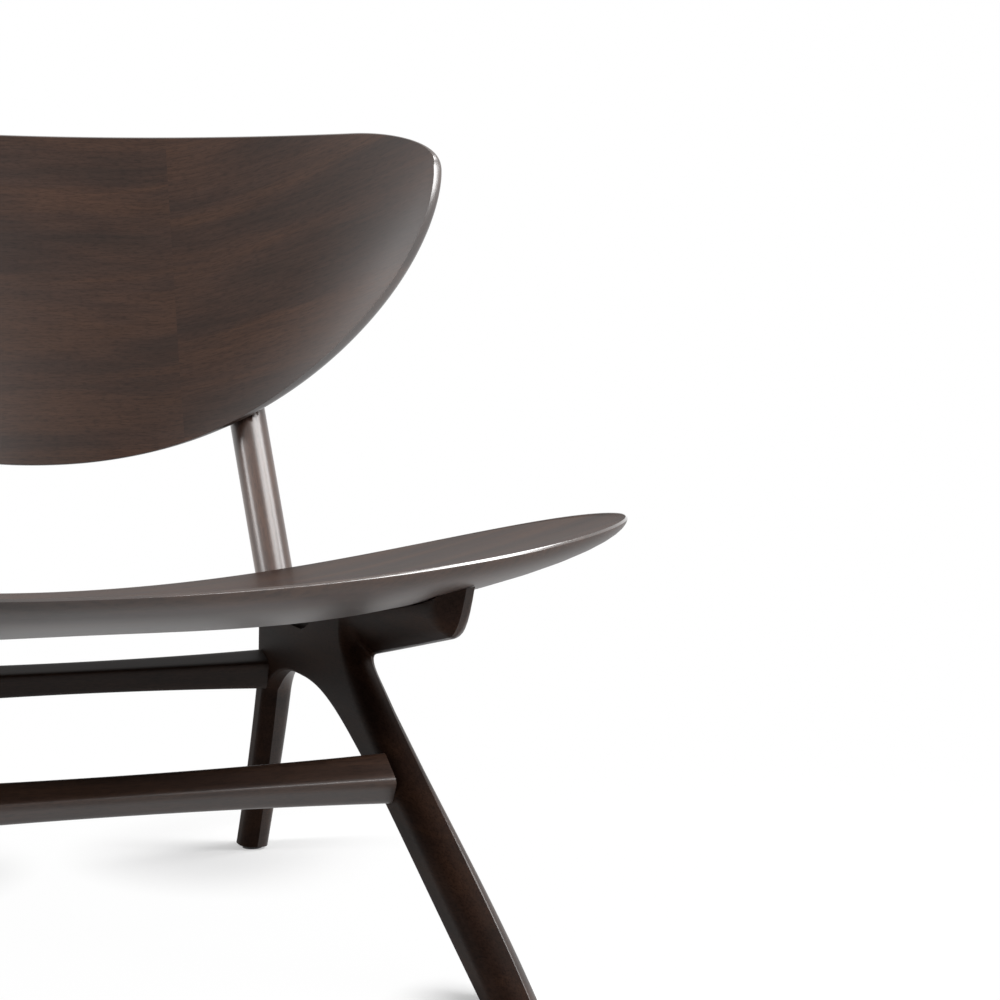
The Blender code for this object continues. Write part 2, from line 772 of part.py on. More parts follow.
def add_screw(name, seat, direction, lengths, part, pocket, targets):
    """A screw of these grip and bite lengths, with its head sunk by a counterbore of the third."""
    grip, bite, outside = lengths
    resting = seat - direction * JOINT_GAP
    part(name, screw_mesh(resting, direction, grip, bite, SCREW_HEAD_LENGTH), STEEL)
    hole = screw_mesh(seat, direction, grip, bite, outside, grow=JOINT_GAP)
    pocket(f"{name}_hole", hole, *targets)


def add_seat_screws(word, side, part, pocket):
    up = Vector((0.0, 0.0, 1.0))
    lengths = (SEAT_SCREW_GRIP, SEAT_SCREW_BITE, ARCH_CREST_HEIGHT)
    for end, forward in (("rear", SEAT_SCREW_REAR_FORWARD), ("front", SEAT_SCREW_FRONT_FORWARD)):
        across = frame_middle(forward, POST_SHOULDER_HEIGHT)
        seat = place(side * across, forward, seat_under(across, forward) - SEAT_SCREW_GRIP)
        targets = ("seat_shell", f"{word}_seat_rail")
        add_screw(f"{word}_{end}_seat_screw", seat, up, lengths, part, pocket, targets)


def add_back_screws(word, side, part, pocket):
    drive = unit(1.0, BACK_LEAN)
    square = math.hypot(1.0, BACK_LEAN)
    lengths = (BACK_SCREW_GRIP, BACK_SCREW_BITE, POST_DIAMETER)
    for end, height in (("low", BACK_SCREW_LOW_HEIGHT), ("high", BACK_SCREW_HIGH_HEIGHT)):
        axis = post_axis(height)
        face = (back_rear(axis.x, height) - axis.y) / square
        middle = mirrored(place(*axis), side)
        seat = middle + drive * (face - BACK_SCREW_GRIP)
        targets = ("back_shell", f"{word}_back_post")
        add_screw(f"{word}_{end}_back_screw", seat, drive, lengths, part, pocket, targets)
        under = seat - drive * (SCREW_HEAD_LENGTH + 2 * JOINT_GAP)
        flush = middle - drive * (0.5 * POST_DIAMETER - PLUG_SETBACK)
        part(f"{word}_{end}_back_plug", rod(under, flush, SCREW_HEAD_DIAMETER), TIMBER)


def foot_middle(leg):
    """Middle of a foot on the floor, as (across, forward)."""
    if leg == "rear":
        forward = 0.5 * (rear_leg_back(FOOT_HEIGHT) + rear_leg_front(FOOT_HEIGHT))
    else:
        forward = 0.5 * (FRONT_FOOT_BACK + FRONT_FOOT_FRONT - 0.5 * FRONT_FOOT_TAPER)
    return frame_middle(forward, FOOT_HEIGHT), forward


def add_glides(word, side, part):
    for leg in ("front", "rear"):
        across, forward = foot_middle(leg)
        low = place(side * across, forward, 0.0)
        high = place(side * across, forward, FOOT_HEIGHT - JOINT_GAP)
        part(f"{word}_{leg}_foot_glide", rod(low, high, GLIDE_DIAMETER), GLIDE)


def centre_on_floor(*collections):
    """Hangs everything on an empty, so that the origin is under the middle of the chair."""
    depths = [vert.co.y for obj in collections[0].objects for vert in obj.data.vertices]
    holder = bpy.data.objects.new("lounge_chair_origin", None)
    collections[0].objects.link(holder)
    for collection in collections:
        for obj in collection.objects:
            if obj is not holder:
                obj.parent = holder
    holder.location.y = -0.5 * (min(depths) + max(depths))
    bpy.context.view_layer.update()


def build():
    clear_scene()
    parts = new_collection("lounge_chair")
    cutters = new_collection("cutters")
    made = {}

    def part(name, mesh_data, finish):
        made[name] = add_object(name, mesh_data, parts, finish)
        return made[name]

    def pocket(name, mesh_data, *targets):
        cutter = add_object(name, mesh_data, cutters)
        for target in targets:
            cut(made[target], cutter)

    part("seat_shell", mapped_sphere(SEAT_AROUND, SEAT_RINGS, seat_point), TIMBER)
    part("back_shell", mapped_sphere(BACK_AROUND, BACK_RINGS, back_point), TIMBER)
    part("front_stretcher", skin(stretcher_rings(*FRONT_STRETCHER)), TIMBER)
    part("rear_stretcher", skin(stretcher_rings(*REAR_STRETCHER)), TIMBER)
    for word, side in (("left", -1.0), ("right", 1.0)):
        part(f"{word}_seat_rail", skin(rail_rings(side)), TIMBER)
        part(f"{word}_front_leg", skin(front_leg_rings(side)), TIMBER)
        part(f"{word}_rear_leg", skin(rear_leg_rings(side)), TIMBER)
        part(f"{word}_back_post", skin(post_rings(side)), TIMBER)
    for word, side in (("left", -1.0), ("right", 1.0)):
        add_leg_tenons(word, side, part, pocket)
        add_stretcher_dowels(word, side, part, pocket)
        add_post_socket(word, side, pocket)
        add_seat_screws(word, side, part, pocket)
        add_back_screws(word, side, part, pocket)
        add_glides(word, side, part)
    centre_on_floor(parts, cutters)


build()
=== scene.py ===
"""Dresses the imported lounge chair: finely shaped timber, dark varnish, a white studio and the camera.

Metres, +Z up, the chair faces -Y. A point of the chair is written (across, forward, height), where
forward is counted from a line near the rear feet, as in the part's own source.
"""

import json
import math

import bmesh
import bpy
from bpy.props import FloatProperty, FloatVectorProperty, IntProperty, PointerProperty
from mathutils import Euler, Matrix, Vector


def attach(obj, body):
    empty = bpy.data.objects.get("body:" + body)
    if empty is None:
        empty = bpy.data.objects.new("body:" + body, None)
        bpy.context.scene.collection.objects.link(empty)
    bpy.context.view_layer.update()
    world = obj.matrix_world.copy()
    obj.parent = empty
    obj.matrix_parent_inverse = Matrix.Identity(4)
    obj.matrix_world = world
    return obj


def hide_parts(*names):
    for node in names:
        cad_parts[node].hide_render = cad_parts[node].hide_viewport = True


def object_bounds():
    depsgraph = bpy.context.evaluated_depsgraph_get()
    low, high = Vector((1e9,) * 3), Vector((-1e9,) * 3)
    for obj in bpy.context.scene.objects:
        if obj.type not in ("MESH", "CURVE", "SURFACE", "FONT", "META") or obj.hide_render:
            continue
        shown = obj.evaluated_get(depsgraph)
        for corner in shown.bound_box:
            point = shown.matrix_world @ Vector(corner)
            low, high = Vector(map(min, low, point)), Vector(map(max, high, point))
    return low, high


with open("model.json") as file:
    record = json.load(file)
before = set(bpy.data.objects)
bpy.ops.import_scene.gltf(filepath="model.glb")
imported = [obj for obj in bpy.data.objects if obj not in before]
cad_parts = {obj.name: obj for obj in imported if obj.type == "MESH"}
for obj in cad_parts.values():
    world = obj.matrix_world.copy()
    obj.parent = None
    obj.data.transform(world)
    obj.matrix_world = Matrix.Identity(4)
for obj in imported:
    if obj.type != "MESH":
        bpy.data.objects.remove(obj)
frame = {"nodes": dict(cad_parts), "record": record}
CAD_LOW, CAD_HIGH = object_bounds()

bl_info = {
    "name": "Lounge Chair Dressing",
    "version": (1, 0, 0),
    "blender": (4, 5, 0),
    "location": "View3D > Sidebar > Chair",
    "description": "Builds the shaped, varnished pieces of a lounge chair over its packed frame",
    "category": "Object",
}

SIDES = (("left", -1.0), ("right", 1.0))
GRAIN = "grain"
WHITE = (1.0, 1.0, 1.0)
SENSOR_WIDTH = 36.0
CUT_SNAP = 1e-6
PLATE_AXES = ((1, Vector((0.0, 1.0, 0.0))), (2, Vector((0.0, 0.0, 1.0))))

# The figure of the timber: features in each metre along, across and through the grain, then the detail,
# the roughness and the distortion of the noise.
STREAKS = ((2.4, 24.0, 24.0), 4.0, 0.55, 0.6)

# What darkens it: such a noise, where it is darkest, the shade there, where it ends, and its strength.
DARKENING = {
    "clouds": (((6.0, 14.0, 14.0), 2.0, 0.5), 0.34, (0.70, 0.70, 0.71), 0.66, 0.85),
    "lines": (((22.0, 330.0, 330.0), 4.0, 0.6), 0.32, (0.60, 0.57, 0.55), 0.60, 0.75),
    "flecks": (((130.0, 800.0, 800.0), 2.0, 0.55), 0.34, (0.52, 0.50, 0.49), 0.52, 0.8),
}

# How far the figure is set over in the outer boards, along, across and through the grain.
BOARD_SHIFT = (0.31, 2.7, 0.0)

# Slopes of the outward direction round the back, in degrees, at which the rolled rim ends and is full.
RIM_ABOVE = (72.0, 0.0)
RIM_BELOW = (-77.0, -40.0)

# Slopes of the direction from the back's hub, in degrees, at which the curl of its flanks ends and is full.
CURL_ABOVE = (20.0, -5.0)
CURL_BELOW = (-75.0, -40.0)

# Handles of the inner arch as (forward, up), from the rear leg and from the crest.
INNER_PULL = (0.035, 0.019)
INNER_CREST_PULL = (-0.065, 0.0015)

# Rounding of the rail's rear upper corner, and the gap between the post's shoulder and the ramp before it.
REAR_CORNER = 0.004
SHOULDER_STEP = 0.0005

# Shares of a stretch: of the rail's rear end where its arris starts to narrow, of the beak in which its
# rounding changes at each end, and of the front leg in which the notch's rounding fades.
REAR_ROUND_END = 0.55
BEAK_CHANGE = 0.4
NOTCH_FADE = 1.0 / 6.0

# How quickly the screw pocket falls away from its rim.
POCKET_POWER = 0.4

# The lamps: name, place, what each is aimed at, width and height, and watts.
LIGHTS = (
    ("light_above", (1.58, -0.62, 1.96), (0.25, -0.3, 0.35), (1.7, 0.5), 34.0),
    ("light_left", (-1.30, -0.36, 1.96), (0.35, 0.18, 0.6), (0.35, 0.9), 28.0),
    ("light_left_low", (-1.9, 0.10, 0.84), (0.2, 0.19, 0.4), (1.0, 0.4), 22.0),
    ("light_front", (0.95, -1.5, 1.58), (0.2, 0.19, 0.4), (1.1, 0.3), 23.0),
    ("light_right", (2.0, -0.82, 1.50), (0.36, 0.18, 0.6), (0.6, 0.9), 24.0),
)


# Kinds of setting

def length(name, description, default):
    return FloatProperty(name=name, description=description, default=default, unit="LENGTH", precision=4)


def number(name, description, default):
    return FloatProperty(name=name, description=description, default=default, precision=3)


def rotation(name, description, degrees):
    return FloatProperty(name=name, description=description, default=math.radians(degrees), unit="ROTATION")


def count(name, description, default):
    return IntProperty(name=name, description=description, default=default, min=2)


def colour(name, description, default):
    return FloatVectorProperty(
        name=name, description=description, default=default, subtype="COLOR", size=3, min=0.0, max=1.0
    )


class ChairSeatSizes(bpy.types.PropertyGroup):
    """Sizes of the dished seat"""

    half_width: length("Half width", "From the middle to a wing's tip", 0.457)
    centre_forward: length("Centre", "Where the seat is widest, counted forward", 0.395)
    front_reach: length("Front reach", "From the widest line to the front rim", 0.235)
    rear_reach: length("Rear reach", "From the widest line to the rear rim", 0.300)
    rear_height: length("Rear height", "Height of the rear rim", 0.275)
    front_height: length("Front height", "Height of the front rim", 0.339)
    wing_rise: length("Wing rise", "How far the tips stand above the middle", 0.053)
    wing_twist: number("Wing twist", "How much the rise falls towards the front", 0.050)
    dish: length("Dish", "Depth of the hollow on top", 0.016)
    depth: length("Depth", "Thickness below the rim at the middle", 0.0325)
    wing_depth: length("Wing depth", "Extra thickness under the wings", 0.0078)
    flat_width: length("Flat width", "Where the wings reach their full depth", 0.230)
    under_power: number("Underside power", "How quickly the underside falls away from the rim", 0.40)
    arris: length("Arris", "Rounding of the rim", 0.0019)
    arris_power: number("Arris power", "How full the rim's rounding is", 1.12)
    grain_rise: number("Grain rise", "How much the figure changes with the height", 0.3)
    cells: count("Cells", "Faces across the seat", 96)


class ChairBackSizes(bpy.types.PropertyGroup):
    """Sizes of the half-moon back"""

    half_width: length("Half width", "From the middle to the widest point", 0.3843)
    bottom_height: length("Bottom", "Height of the lowest point", 0.392)
    widest_height: length("Widest level", "Height at which the back is widest", 0.678)
    top_height: length("Top", "Height of the upper edge near its corners", 0.7148)
    top_dip: length("Top dip", "How far the upper edge sags at the middle", 0.0035)
    corner_length: length("Corner", "Length of the rounded upper corners", 0.074)
    corner_power: number("Corner power", "Fullness of the upper corners", 2.1)
    lower_power: number("Lower power", "Fullness of the lower outline", 2.09)
    flank_power: number("Flank power", "Fullness of the outline below the widest level", 1.56)
    hub_height: length("Hub", "Height from which the outline is measured", 0.590)
    forward: length("Forward", "How far forward the foot of the back lies", 0.0575)
    lean: number("Lean", "How far the back leans for each metre of height", 0.354)
    wrap_radius: length("Wrap radius", "Radius of the curve round the sitter", 0.550)
    thickness: length("Thickness", "Thickness of the shell", 0.018)
    rim_width: length("Rim width", "Width of the rolled rim in front, on the flanks", 0.0082)
    rim_turn: rotation("Rim turn", "Angle at which the rim leaves the front face", 44.0)
    rim_depth: number("Rim depth", "Share of the thickness where the top and bottom stand out", 0.16)
    rim_depth_flank: number("Rim depth, flanks", "Share of the thickness where the flanks stand out", 0.62)
    curl: length("Curl", "How far the flanks curl forward beside the rim", 0.0085)
    curl_start: number("Curl start", "Share of the way out at which the curl begins", 0.74)
    front_arris: length("Front arris", "Rounding of the front edge at the top and bottom", 0.0012)
    rear_round: length("Rear rounding", "Width of the rounding at the rear of the rim", 0.006)
    rear_narrowing: number("Rear narrowing", "How much narrower that rounding is on the flanks", 0.4)
    board: length("Board", "Width of the middle board", 0.262)
    grain_fan: number("Grain fan", "How much the grain rises towards the flanks", 0.7)
    grain_start: number("Grain start", "Where it starts to rise, as a share of the middle board", 0.4)
    grain_power: number("Grain power", "How sharply it rises", 1.5)
    cells: count("Cells", "Faces across the back", 96)


class ChairFrameSizes(bpy.types.PropertyGroup):
    """Sizes of the two side frames"""

    rear_inside: length("Rear inside", "From the middle to the inner face at the rear", 0.200)
    rear_forward: length("Rear forward", "Where that is measured", 0.090)
    spread: number("Spread", "How much the frames open towards the front", 0.1185)
    splay_height: length("Splay height", "Below this the legs splay", 0.200)
    rear_inset: length("Rear inset", "How far the rear feet stand in", 0.006)
    front_splay: length("Front splay", "How far the front feet stand out", 0.030)
    front_splay_power: number("Splay power", "How sharply the front legs splay", 1.5)
    rail_thickness: length("Rail", "Thickness of the rails", 0.030)
    rear_thickness: length("Rear foot", "Thickness of the rear feet", 0.027)
    front_thickness: length("Front leg", "Thickness of the front legs", 0.036)
    foot_height: length("Foot height", "Where the timber ends above the glides", 0.003)
    rear_back: length("Rear foot, rear edge", "Rear edge of the rear foot", 0.0085)
    rear_front: length("Rear foot, front edge", "Front edge of the rear foot", 0.0475)
    rear_rake: number("Rear rake", "How far the rear leg runs forward for each metre up", 0.33)
    rear_joint: length("Rear joint", "Height of the rear leg's joint", 0.145)
    rear_end: length("Rear end", "Height of the rail's rear corner", 0.235)
    crest_forward: length("Crest forward", "Where the arch is highest", 0.215)
    crest_height: length("Crest height", "Height of the arch", 0.2045)
    arch_start: length("Arch start", "Height at which the arch leaves the rear leg", 0.168)
    arch_low: length("Arch start, inside", "Height at which the arch leaves the rear leg inside", 0.1733)
    rear_inner: length("Rear leg, inner face", "Width of the rear leg's inner face at the arch", 0.0305)
    rear_inner_foot: length("Rear foot, inner face", "Width of the rear leg's inner face at the foot", 0.033)
    rear_edge_arris: length("Rear leg edge", "Rounding of the rear leg's inner front arris", 0.003)
    arch_rear_pull: length("Arch pull, rear", "Handle of the arch at the rear leg", 0.030)
    arch_crest_pull: length("Arch pull, crest", "Handle of the arch behind its crest", 0.075)
    front_back: length("Front foot, rear edge", "Rear edge of the front foot", 0.5515)
    front_front: length("Front foot, front edge", "Front edge of the front foot", 0.609)
    front_taper: length("Front foot taper", "How much shorter the foot is outside", 0.007)
    front_leg_pull: length("Front leg pull", "Handle of the arch at the front foot", 0.228)
    front_crest_pull: length("Front crest pull", "Handle of the arch before its crest", 0.088)
    splay_forward: length("Splay forward", "In front of this the frame is shaped as the front leg", 0.408)
    notch_forward: length("Notch inside", "Where the leg meets the beak inside", 0.328)
    notch_outer: length("Notch outside", "Where the leg meets the beak outside", 0.314)
    notch_height: length("Notch height, inside", "Height of the notch inside", 0.268)
    notch_low: length("Notch height, outside", "Height of the notch outside", 0.2361)
    beak_end: length("Beak end", "Front of the rail under the seat", 0.543)
    beak_rake: length("Beak rake", "How far the beak's end slopes back below", 0.010)
    beak_slant: length("Beak slant", "How far its end runs back outside", -0.005)
    beak_slope: number("Beak slope, inside", "Rise of the beak's inner lower edge", 0.15)
    beak_low_slope: number("Beak slope, outside", "Rise of the beak's outer lower edge", 0.193)
    foot_pull: length("Foot pull", "Handle of the leg's inner front arris at the foot", 0.120)
    notch_pull: length("Notch pull", "Handle of that arris at the notch", 0.066)
    leg_turn: rotation("Leg turn", "Slope of that arris at both its ends", 60.0)
    outer_bow: length("Outer bow", "Swell of the leg's outer front arris", 0.033)
    facet_width: length("Facet width", "Width of the facet on the leg's outer front arris", 0.010)
    facet_depth: length("Facet depth", "Depth of that facet", 0.008)
    facet_power: number("Facet power", "How full that facet is", 1.2)
    shoulder_ramp: length("Shoulder ramp", "Run from the post's shoulder to the seat", 0.018)
    soft_arris: length("Soft arris", "Rounding of the front legs' inner front arris", 0.020)
    notch_width: length("Notch rounding, width", "Width of the inner rounding round the notch", 0.014)
    notch_depth: length("Notch rounding, depth", "Depth of the inner rounding round the notch", 0.020)
    notch_reach: length("Notch reach", "Size of the hollow corner of the notch", 0.017)
    beak_under_width: length("Beak rounding, width", "Width of the rounding under the beak", 0.012)
    beak_under_depth: length("Beak rounding, depth", "Depth of the rounding under the beak", 0.020)
    beak_end_width: length("Beak end, width", "Width of the rounding at the beak's end", 0.012)
    beak_end_depth: length("Beak end, depth", "Depth of the rounding at the beak's end", 0.012)
    beak_power: number("Beak power", "How full the beak's roundings are", 1.7)
    beak_corner: length("Beak corner", "Rounding of the beak's lower corner", 0.016)
    leg_rear_arris: length("Leg rear arris", "Rounding of the front legs' inner rear arris", 0.008)
    pocket_forward: length("Pocket, forward", "Middle of the screw pocket on the rail's inner face", 0.203)
    pocket_height: length("Pocket, height", "Height of its middle", 0.266)
    pocket_length: length("Pocket, half length", "Half its length along the rail", 0.040)
    pocket_drop: length("Pocket, drop", "How far it reaches down from its middle", 0.018)
    pocket_depth: length("Pocket, depth", "How deep it is hollowed", 0.009)
    saw_allowance: length("Saw allowance", "How far the legs run on before they are sawn off", 0.030)
    cell: length("Cell", "Size of the faces on the broad sides", 0.005)
    crisp_arris: length("Crisp arris", "Rounding of the outer front arris", 0.0015)
    arris: length("Arris", "Rounding of the other edges", 0.006)
    rear_arris: length("Rear leg arris", "Rounding of the rear legs", 0.013)
    top_arris: length("Top arris", "Rounding of the edges under the seat", 0.0008)
    foot_arris: length("Foot arris", "Rounding round the feet", 0.002)
    bed_gap: length("Bed gap", "Glue space between rail and seat", 0.0005)


class ChairPostSizes(bpy.types.PropertyGroup):
    """Sizes of the turned posts"""

    diameter: length("Diameter", "Diameter of the posts", 0.0358)
    forward: length("Forward", "Where a post stands on its rail", 0.1225)
    inset: length("Inset", "How far it stands in from the rail's middle", 0.004)
    shoulder_height: length("Shoulder", "Height of the rail's shoulder", 0.250)
    toe_in: number("Toe-in", "How far the posts lean inwards for each metre up", 0.103)
    top_height: length("Top", "Height of the post's upper end", 0.600)
    end_arris: length("End arris", "Rounding of the upper end", 0.003)


class ChairStretcherSizes(bpy.types.PropertyGroup):
    """Sizes of the two stretchers"""

    front_forward: length("Front, forward", "Where the front stretcher lies", 0.430)
    front_height: length("Front, height", "Height of the front stretcher", 0.154)
    front_end: length("Front, ends", "Its side at the ends", 0.033)
    front_middle: length("Front, middle", "Its side in the middle", 0.0255)
    front_turn: rotation("Front, turn", "How far it is rolled", -41.0)
    rear_forward: length("Rear, forward", "Where the rear stretcher lies", 0.100)
    rear_height: length("Rear, height", "Height of the rear stretcher", 0.193)
    rear_end: length("Rear, ends", "Its side at the ends", 0.031)
    rear_middle: length("Rear, middle", "Its side in the middle", 0.0245)
    rear_turn: rotation("Rear, turn", "How far it is rolled", -20.0)
    power: number("Squareness", "How square the section is", 6.0)


class ChairFinish(bpy.types.PropertyGroup):
    """Colours of the timber, the varnish, the screws and the glides"""

    dark: colour("Dark grain", "Darkest streaks of the stained timber", (0.019, 0.0105, 0.0075))
    brown: colour("Brown grain", "Main colour of the stained timber", (0.030, 0.0152, 0.0103))
    red: colour("Red grain", "Reddish streaks of the stained timber", (0.043, 0.0207, 0.0124))
    bare: colour("Bare timber", "Timber inside the joints", (0.30, 0.17, 0.10))
    steel: colour("Steel", "Screws", (0.50, 0.48, 0.44))
    glide: colour("Glide", "Plastic under the feet", (0.025, 0.025, 0.026))


class ChairStudio(bpy.types.PropertyGroup):
    """Camera, light and floor"""

    camera_across: length("Camera across", "Camera's place", -0.140)
    camera_forward: length("Camera forward", "Camera's place, counted forward", 2.000)
    camera_height: length("Camera height", "Camera's place", 0.520)
    camera_pitch: rotation("Camera pitch", "How far the camera looks down", 4.858)
    camera_heading: rotation("Camera heading", "How far the camera looks to the right", 17.0)
    lens: FloatProperty(
        name="Lens", description="Focal length on a 36 mm sensor", default=72.0, unit="CAMERA"
    )
    floor: colour("Floor", "Floor and background", (0.90, 0.90, 0.90))
    floor_white: number("Floor white", "How far the floor's shadow is lifted to white", 0.985)
    foot_white: number("Foot white", "How far the shadow at a foot is lifted to white", 0.37)
    foot_near: length("Foot near", "Within this a foot's shadow is full", 0.04)
    front_foot_far: length("Front foot far", "Beyond this a front foot's shadow is gone", 0.12)
    rear_foot_far: length("Rear foot far", "Beyond this a rear foot's shadow is gone", 0.21)
    shadow_near: length("Shadow near", "Within this the floor shows its shadow", 0.5)
    shadow_far: length("Shadow far", "Beyond this the floor is plain white", 1.3)
    room: number("Room light", "Strength of the plain light all round", 0.25)


# Curves and placing

def smooth_step(value):
    """Eases from 0 to 1 as the value goes from 0 to 1."""
    value = min(1.0, max(0.0, value))
    return value * value * (3.0 - 2.0 * value)


def ease(value, start, full):
    """Eases from 0 to 1 as the value goes from the start to where it is full."""
    return smooth_step((value - start) / (full - start))


def blend(start, end, share):
    return start + (end - start) * share


def along(start, end, share):
    """The point between two points, or the arris between two arrises."""
    return tuple(blend(a, b, share) for a, b in zip(start, end))


def bezier(start, start_pull, end_pull, end, share):
    """A point of the curve between two (forward, height) points with a handle at each."""
    rest = 1.0 - share
    weights = (rest ** 3, 3 * rest ** 2 * share, 3 * rest * share ** 2, share ** 3)
    points = (start, start_pull, end_pull, end)
    return tuple(sum(w * p[axis] for w, p in zip(weights, points)) for axis in (0, 1))


def place(across, forward, height):
    """Where a point of the chair lies in the scene."""
    seat = bpy.context.scene.chair_seat
    rear_line = CAD_LOW.y + seat.centre_forward + seat.front_reach
    return Vector((across, rear_line - forward, height))


# Seat surfaces

def seat_inside(seat, across, forward):
    """1 at the middle of the seat's plan and 0 on its rim."""
    reach = seat.front_reach if forward > seat.centre_forward else seat.rear_reach
    spread = math.hypot(across / seat.half_width, (forward - seat.centre_forward) / reach)
    return max(0.0, 1.0 - spread * spread)


def seat_level(seat, across, forward):
    """Height of the saddle that the rim lies on."""
    slope = (seat.front_height - seat.rear_height) / (seat.front_reach + seat.rear_reach)
    from_rear = forward - seat.centre_forward + seat.rear_reach
    twist = seat.wing_rise - seat.wing_twist * (forward - seat.centre_forward)
    return seat.rear_height + slope * from_rear + twist * (across / seat.half_width) ** 2


def seat_top(seat, across, forward):
    return seat_level(seat, across, forward) - seat.dish * seat_inside(seat, across, forward)


def seat_under(seat, across, forward):
    depth = seat.depth + seat.wing_depth * smooth_step(abs(across) / seat.flat_width)
    return seat_level(seat, across, forward) - depth * seat_inside(seat, across, forward) ** seat.under_power


# Back surfaces

def back_edge(back, across, upper):
    """Height of the back's outline above or below its widest level."""
    share = min(1.0, abs(across) / back.half_width)
    if not upper:
        drop = (1.0 - share ** back.lower_power) ** (1.0 / back.flank_power)
        return back.widest_height - (back.widest_height - back.bottom_height) * drop
    flat = back.half_width - back.corner_length
    if abs(across) <= flat:
        return back.top_height - back.top_dip * (1.0 - (across / flat) ** 2)
    bend = min(1.0, (abs(across) - flat) / back.corner_length)
    rise = (1.0 - bend ** back.corner_power) ** (1.0 / back.corner_power)
    return back.widest_height + (back.top_height - back.widest_height) * rise


def back_reach(back, angle):
    """Distance from the hub to the outline, found by halving."""
    near = 0.0
    far = 2.0 * back.half_width
    for _ in range(32):
        middle = 0.5 * (near + far)
        across = middle * math.cos(angle)
        height = back.hub_height + middle * math.sin(angle)
        inside = abs(across) < back.half_width
        if inside and back_edge(back, across, False) < height < back_edge(back, across, True):
            near = middle
        else:
            far = middle
    return near


def back_outline(back, samples=2880):
    """Points of the outline round the hub with the share of the way round at which each lies."""
    angles = [2.0 * math.pi * i / samples for i in range(samples + 1)]
    reaches = [back_reach(back, angle) for angle in angles]
    points = [Vector((r * math.cos(a), r * math.sin(a))) for r, a in zip(reaches, angles)]
    steps = [q - p for p, q in zip(points, points[1:])]
    total = sum(step.length for step in steps)
    shares = [0.0]
    for before, step in zip([steps[-1]] + steps, steps):
        bend = abs(before.angle_signed(step))
        shares.append(shares[-1] + step.length / total + bend / (2.0 * math.pi))
    return points, [share / shares[-1] for share in shares]


def outline_point(outline, share):
    """The point of the outline at a share of the way round."""
    points, shares = outline
    share = share % 1.0
    low = 0
    high = len(shares) - 1
    while high - low > 1:
        middle = (low + high) // 2
        if shares[middle] <= share:
            low = middle
        else:
            high = middle
    part = (share - shares[low]) / max(1e-12, shares[high] - shares[low])
    return points[low].lerp(points[high], part)


def outline_inward(outline, share, step=0.003):
    """The unit vector that points inwards across the outline."""
    run = outline_point(outline, share + step) - outline_point(outline, share - step)
    return Vector((-run.y, run.x)).normalized()


def back_middle(back, across, height):
    """How far forward the middle of the shell lies."""
    lean = back.lean * (height - back.bottom_height)
    return back.forward - lean + across ** 2 / (2.0 * back.wrap_radius)


def back_half(back):
    """Half the shell's thickness, measured forward."""
    return 0.5 * back.thickness * math.hypot(1.0, back.lean)


# Side frame surfaces

def front_share(sizes, forward):
    """0 at the rear leg and 1 at the front leg."""
    return ease(forward, sizes.crest_forward, sizes.splay_forward)


def inner_face(sizes, forward, height):
    """How far from the middle plane a frame's inner face lies."""
    below = max(0.0, 1.0 - height / sizes.splay_height)
    front = front_share(sizes, forward)
    splay = sizes.front_splay * below ** sizes.front_splay_power * front
    inset = sizes.rear_inset * below ** 2 * (1.0 - front)
    return sizes.rear_inside + sizes.spread * (forward - sizes.rear_forward) + splay - inset


def frame_thickness(sizes, forward, height):
    low = smooth_step(1.0 - height / sizes.crest_height)
    foot = blend(sizes.rear_thickness, sizes.front_thickness, front_share(sizes, forward))
    return blend(sizes.rail_thickness, foot, low)


def pocket_share(sizes, forward, height):
    """How much of its full depth the screw pocket has at a point of the inner face."""
    ahead = (forward - sizes.pocket_forward) / sizes.pocket_length
    rise = (height - sizes.pocket_height) / sizes.pocket_drop
    return max(0.0, 1.0 - ahead * ahead - rise * rise) ** POCKET_POWER


def rear_leg_back(sizes, height):
    return sizes.rear_back + sizes.rear_rake * height


def rear_leg_front(sizes, height):
    return sizes.rear_front + sizes.rear_rake * height


def arch_rear(sizes, share):
    """The arch from the rear leg up to its crest, outside."""
    start = (rear_leg_front(sizes, sizes.arch_start), sizes.arch_start)
    pull = (start[0] + sizes.rear_rake * sizes.arch_rear_pull, start[1] + sizes.arch_rear_pull)
    crest = (sizes.crest_forward, sizes.crest_height)
    return bezier(start, pull, (crest[0] - sizes.arch_crest_pull, crest[1]), crest, share)


def rear_inner_edge(sizes, height):
    """Where the rear leg's inner face ends in front. The front slants, so this face is the narrower."""
    width = blend(sizes.rear_inner_foot, sizes.rear_inner, height / sizes.arch_low)
    return rear_leg_back(sizes, height) + width


def arch_rear_inner(sizes, share):
    """The arch from the rear leg up to its crest, inside."""
    start = (rear_inner_edge(sizes, sizes.arch_low), sizes.arch_low)
    crest = (sizes.crest_forward, sizes.crest_height)
    pull = (start[0] + INNER_PULL[0], start[1] + INNER_PULL[1])
    crest_pull = (crest[0] + INNER_CREST_PULL[0], crest[1] + INNER_CREST_PULL[1])
    return bezier(start, pull, crest_pull, crest, share)


def arch_front(sizes, share):
    """The arch from its crest down to the front foot."""
    crest = (sizes.crest_forward, sizes.crest_height)
    foot = (sizes.front_back, sizes.foot_height)
    lift = sizes.front_leg_pull / math.sqrt(2.0)
    crest_pull = (crest[0] + sizes.front_crest_pull, crest[1])
    return bezier(crest, crest_pull, (foot[0] - lift, foot[1] + lift), foot, share)


def post_foot_across():
    sizes = bpy.context.scene.chair_frame
    post = bpy.context.scene.chair_post
    middle = inner_face(sizes, post.forward, post.shoulder_height) + 0.5 * sizes.rail_thickness
    return middle - post.inset


def post_clear():
    """Where the post's shoulder ends in front."""
    post = bpy.context.scene.chair_post
    lean = bpy.context.scene.chair_back.lean
    return post.forward + 0.5 * post.diameter * math.hypot(1.0, lean)


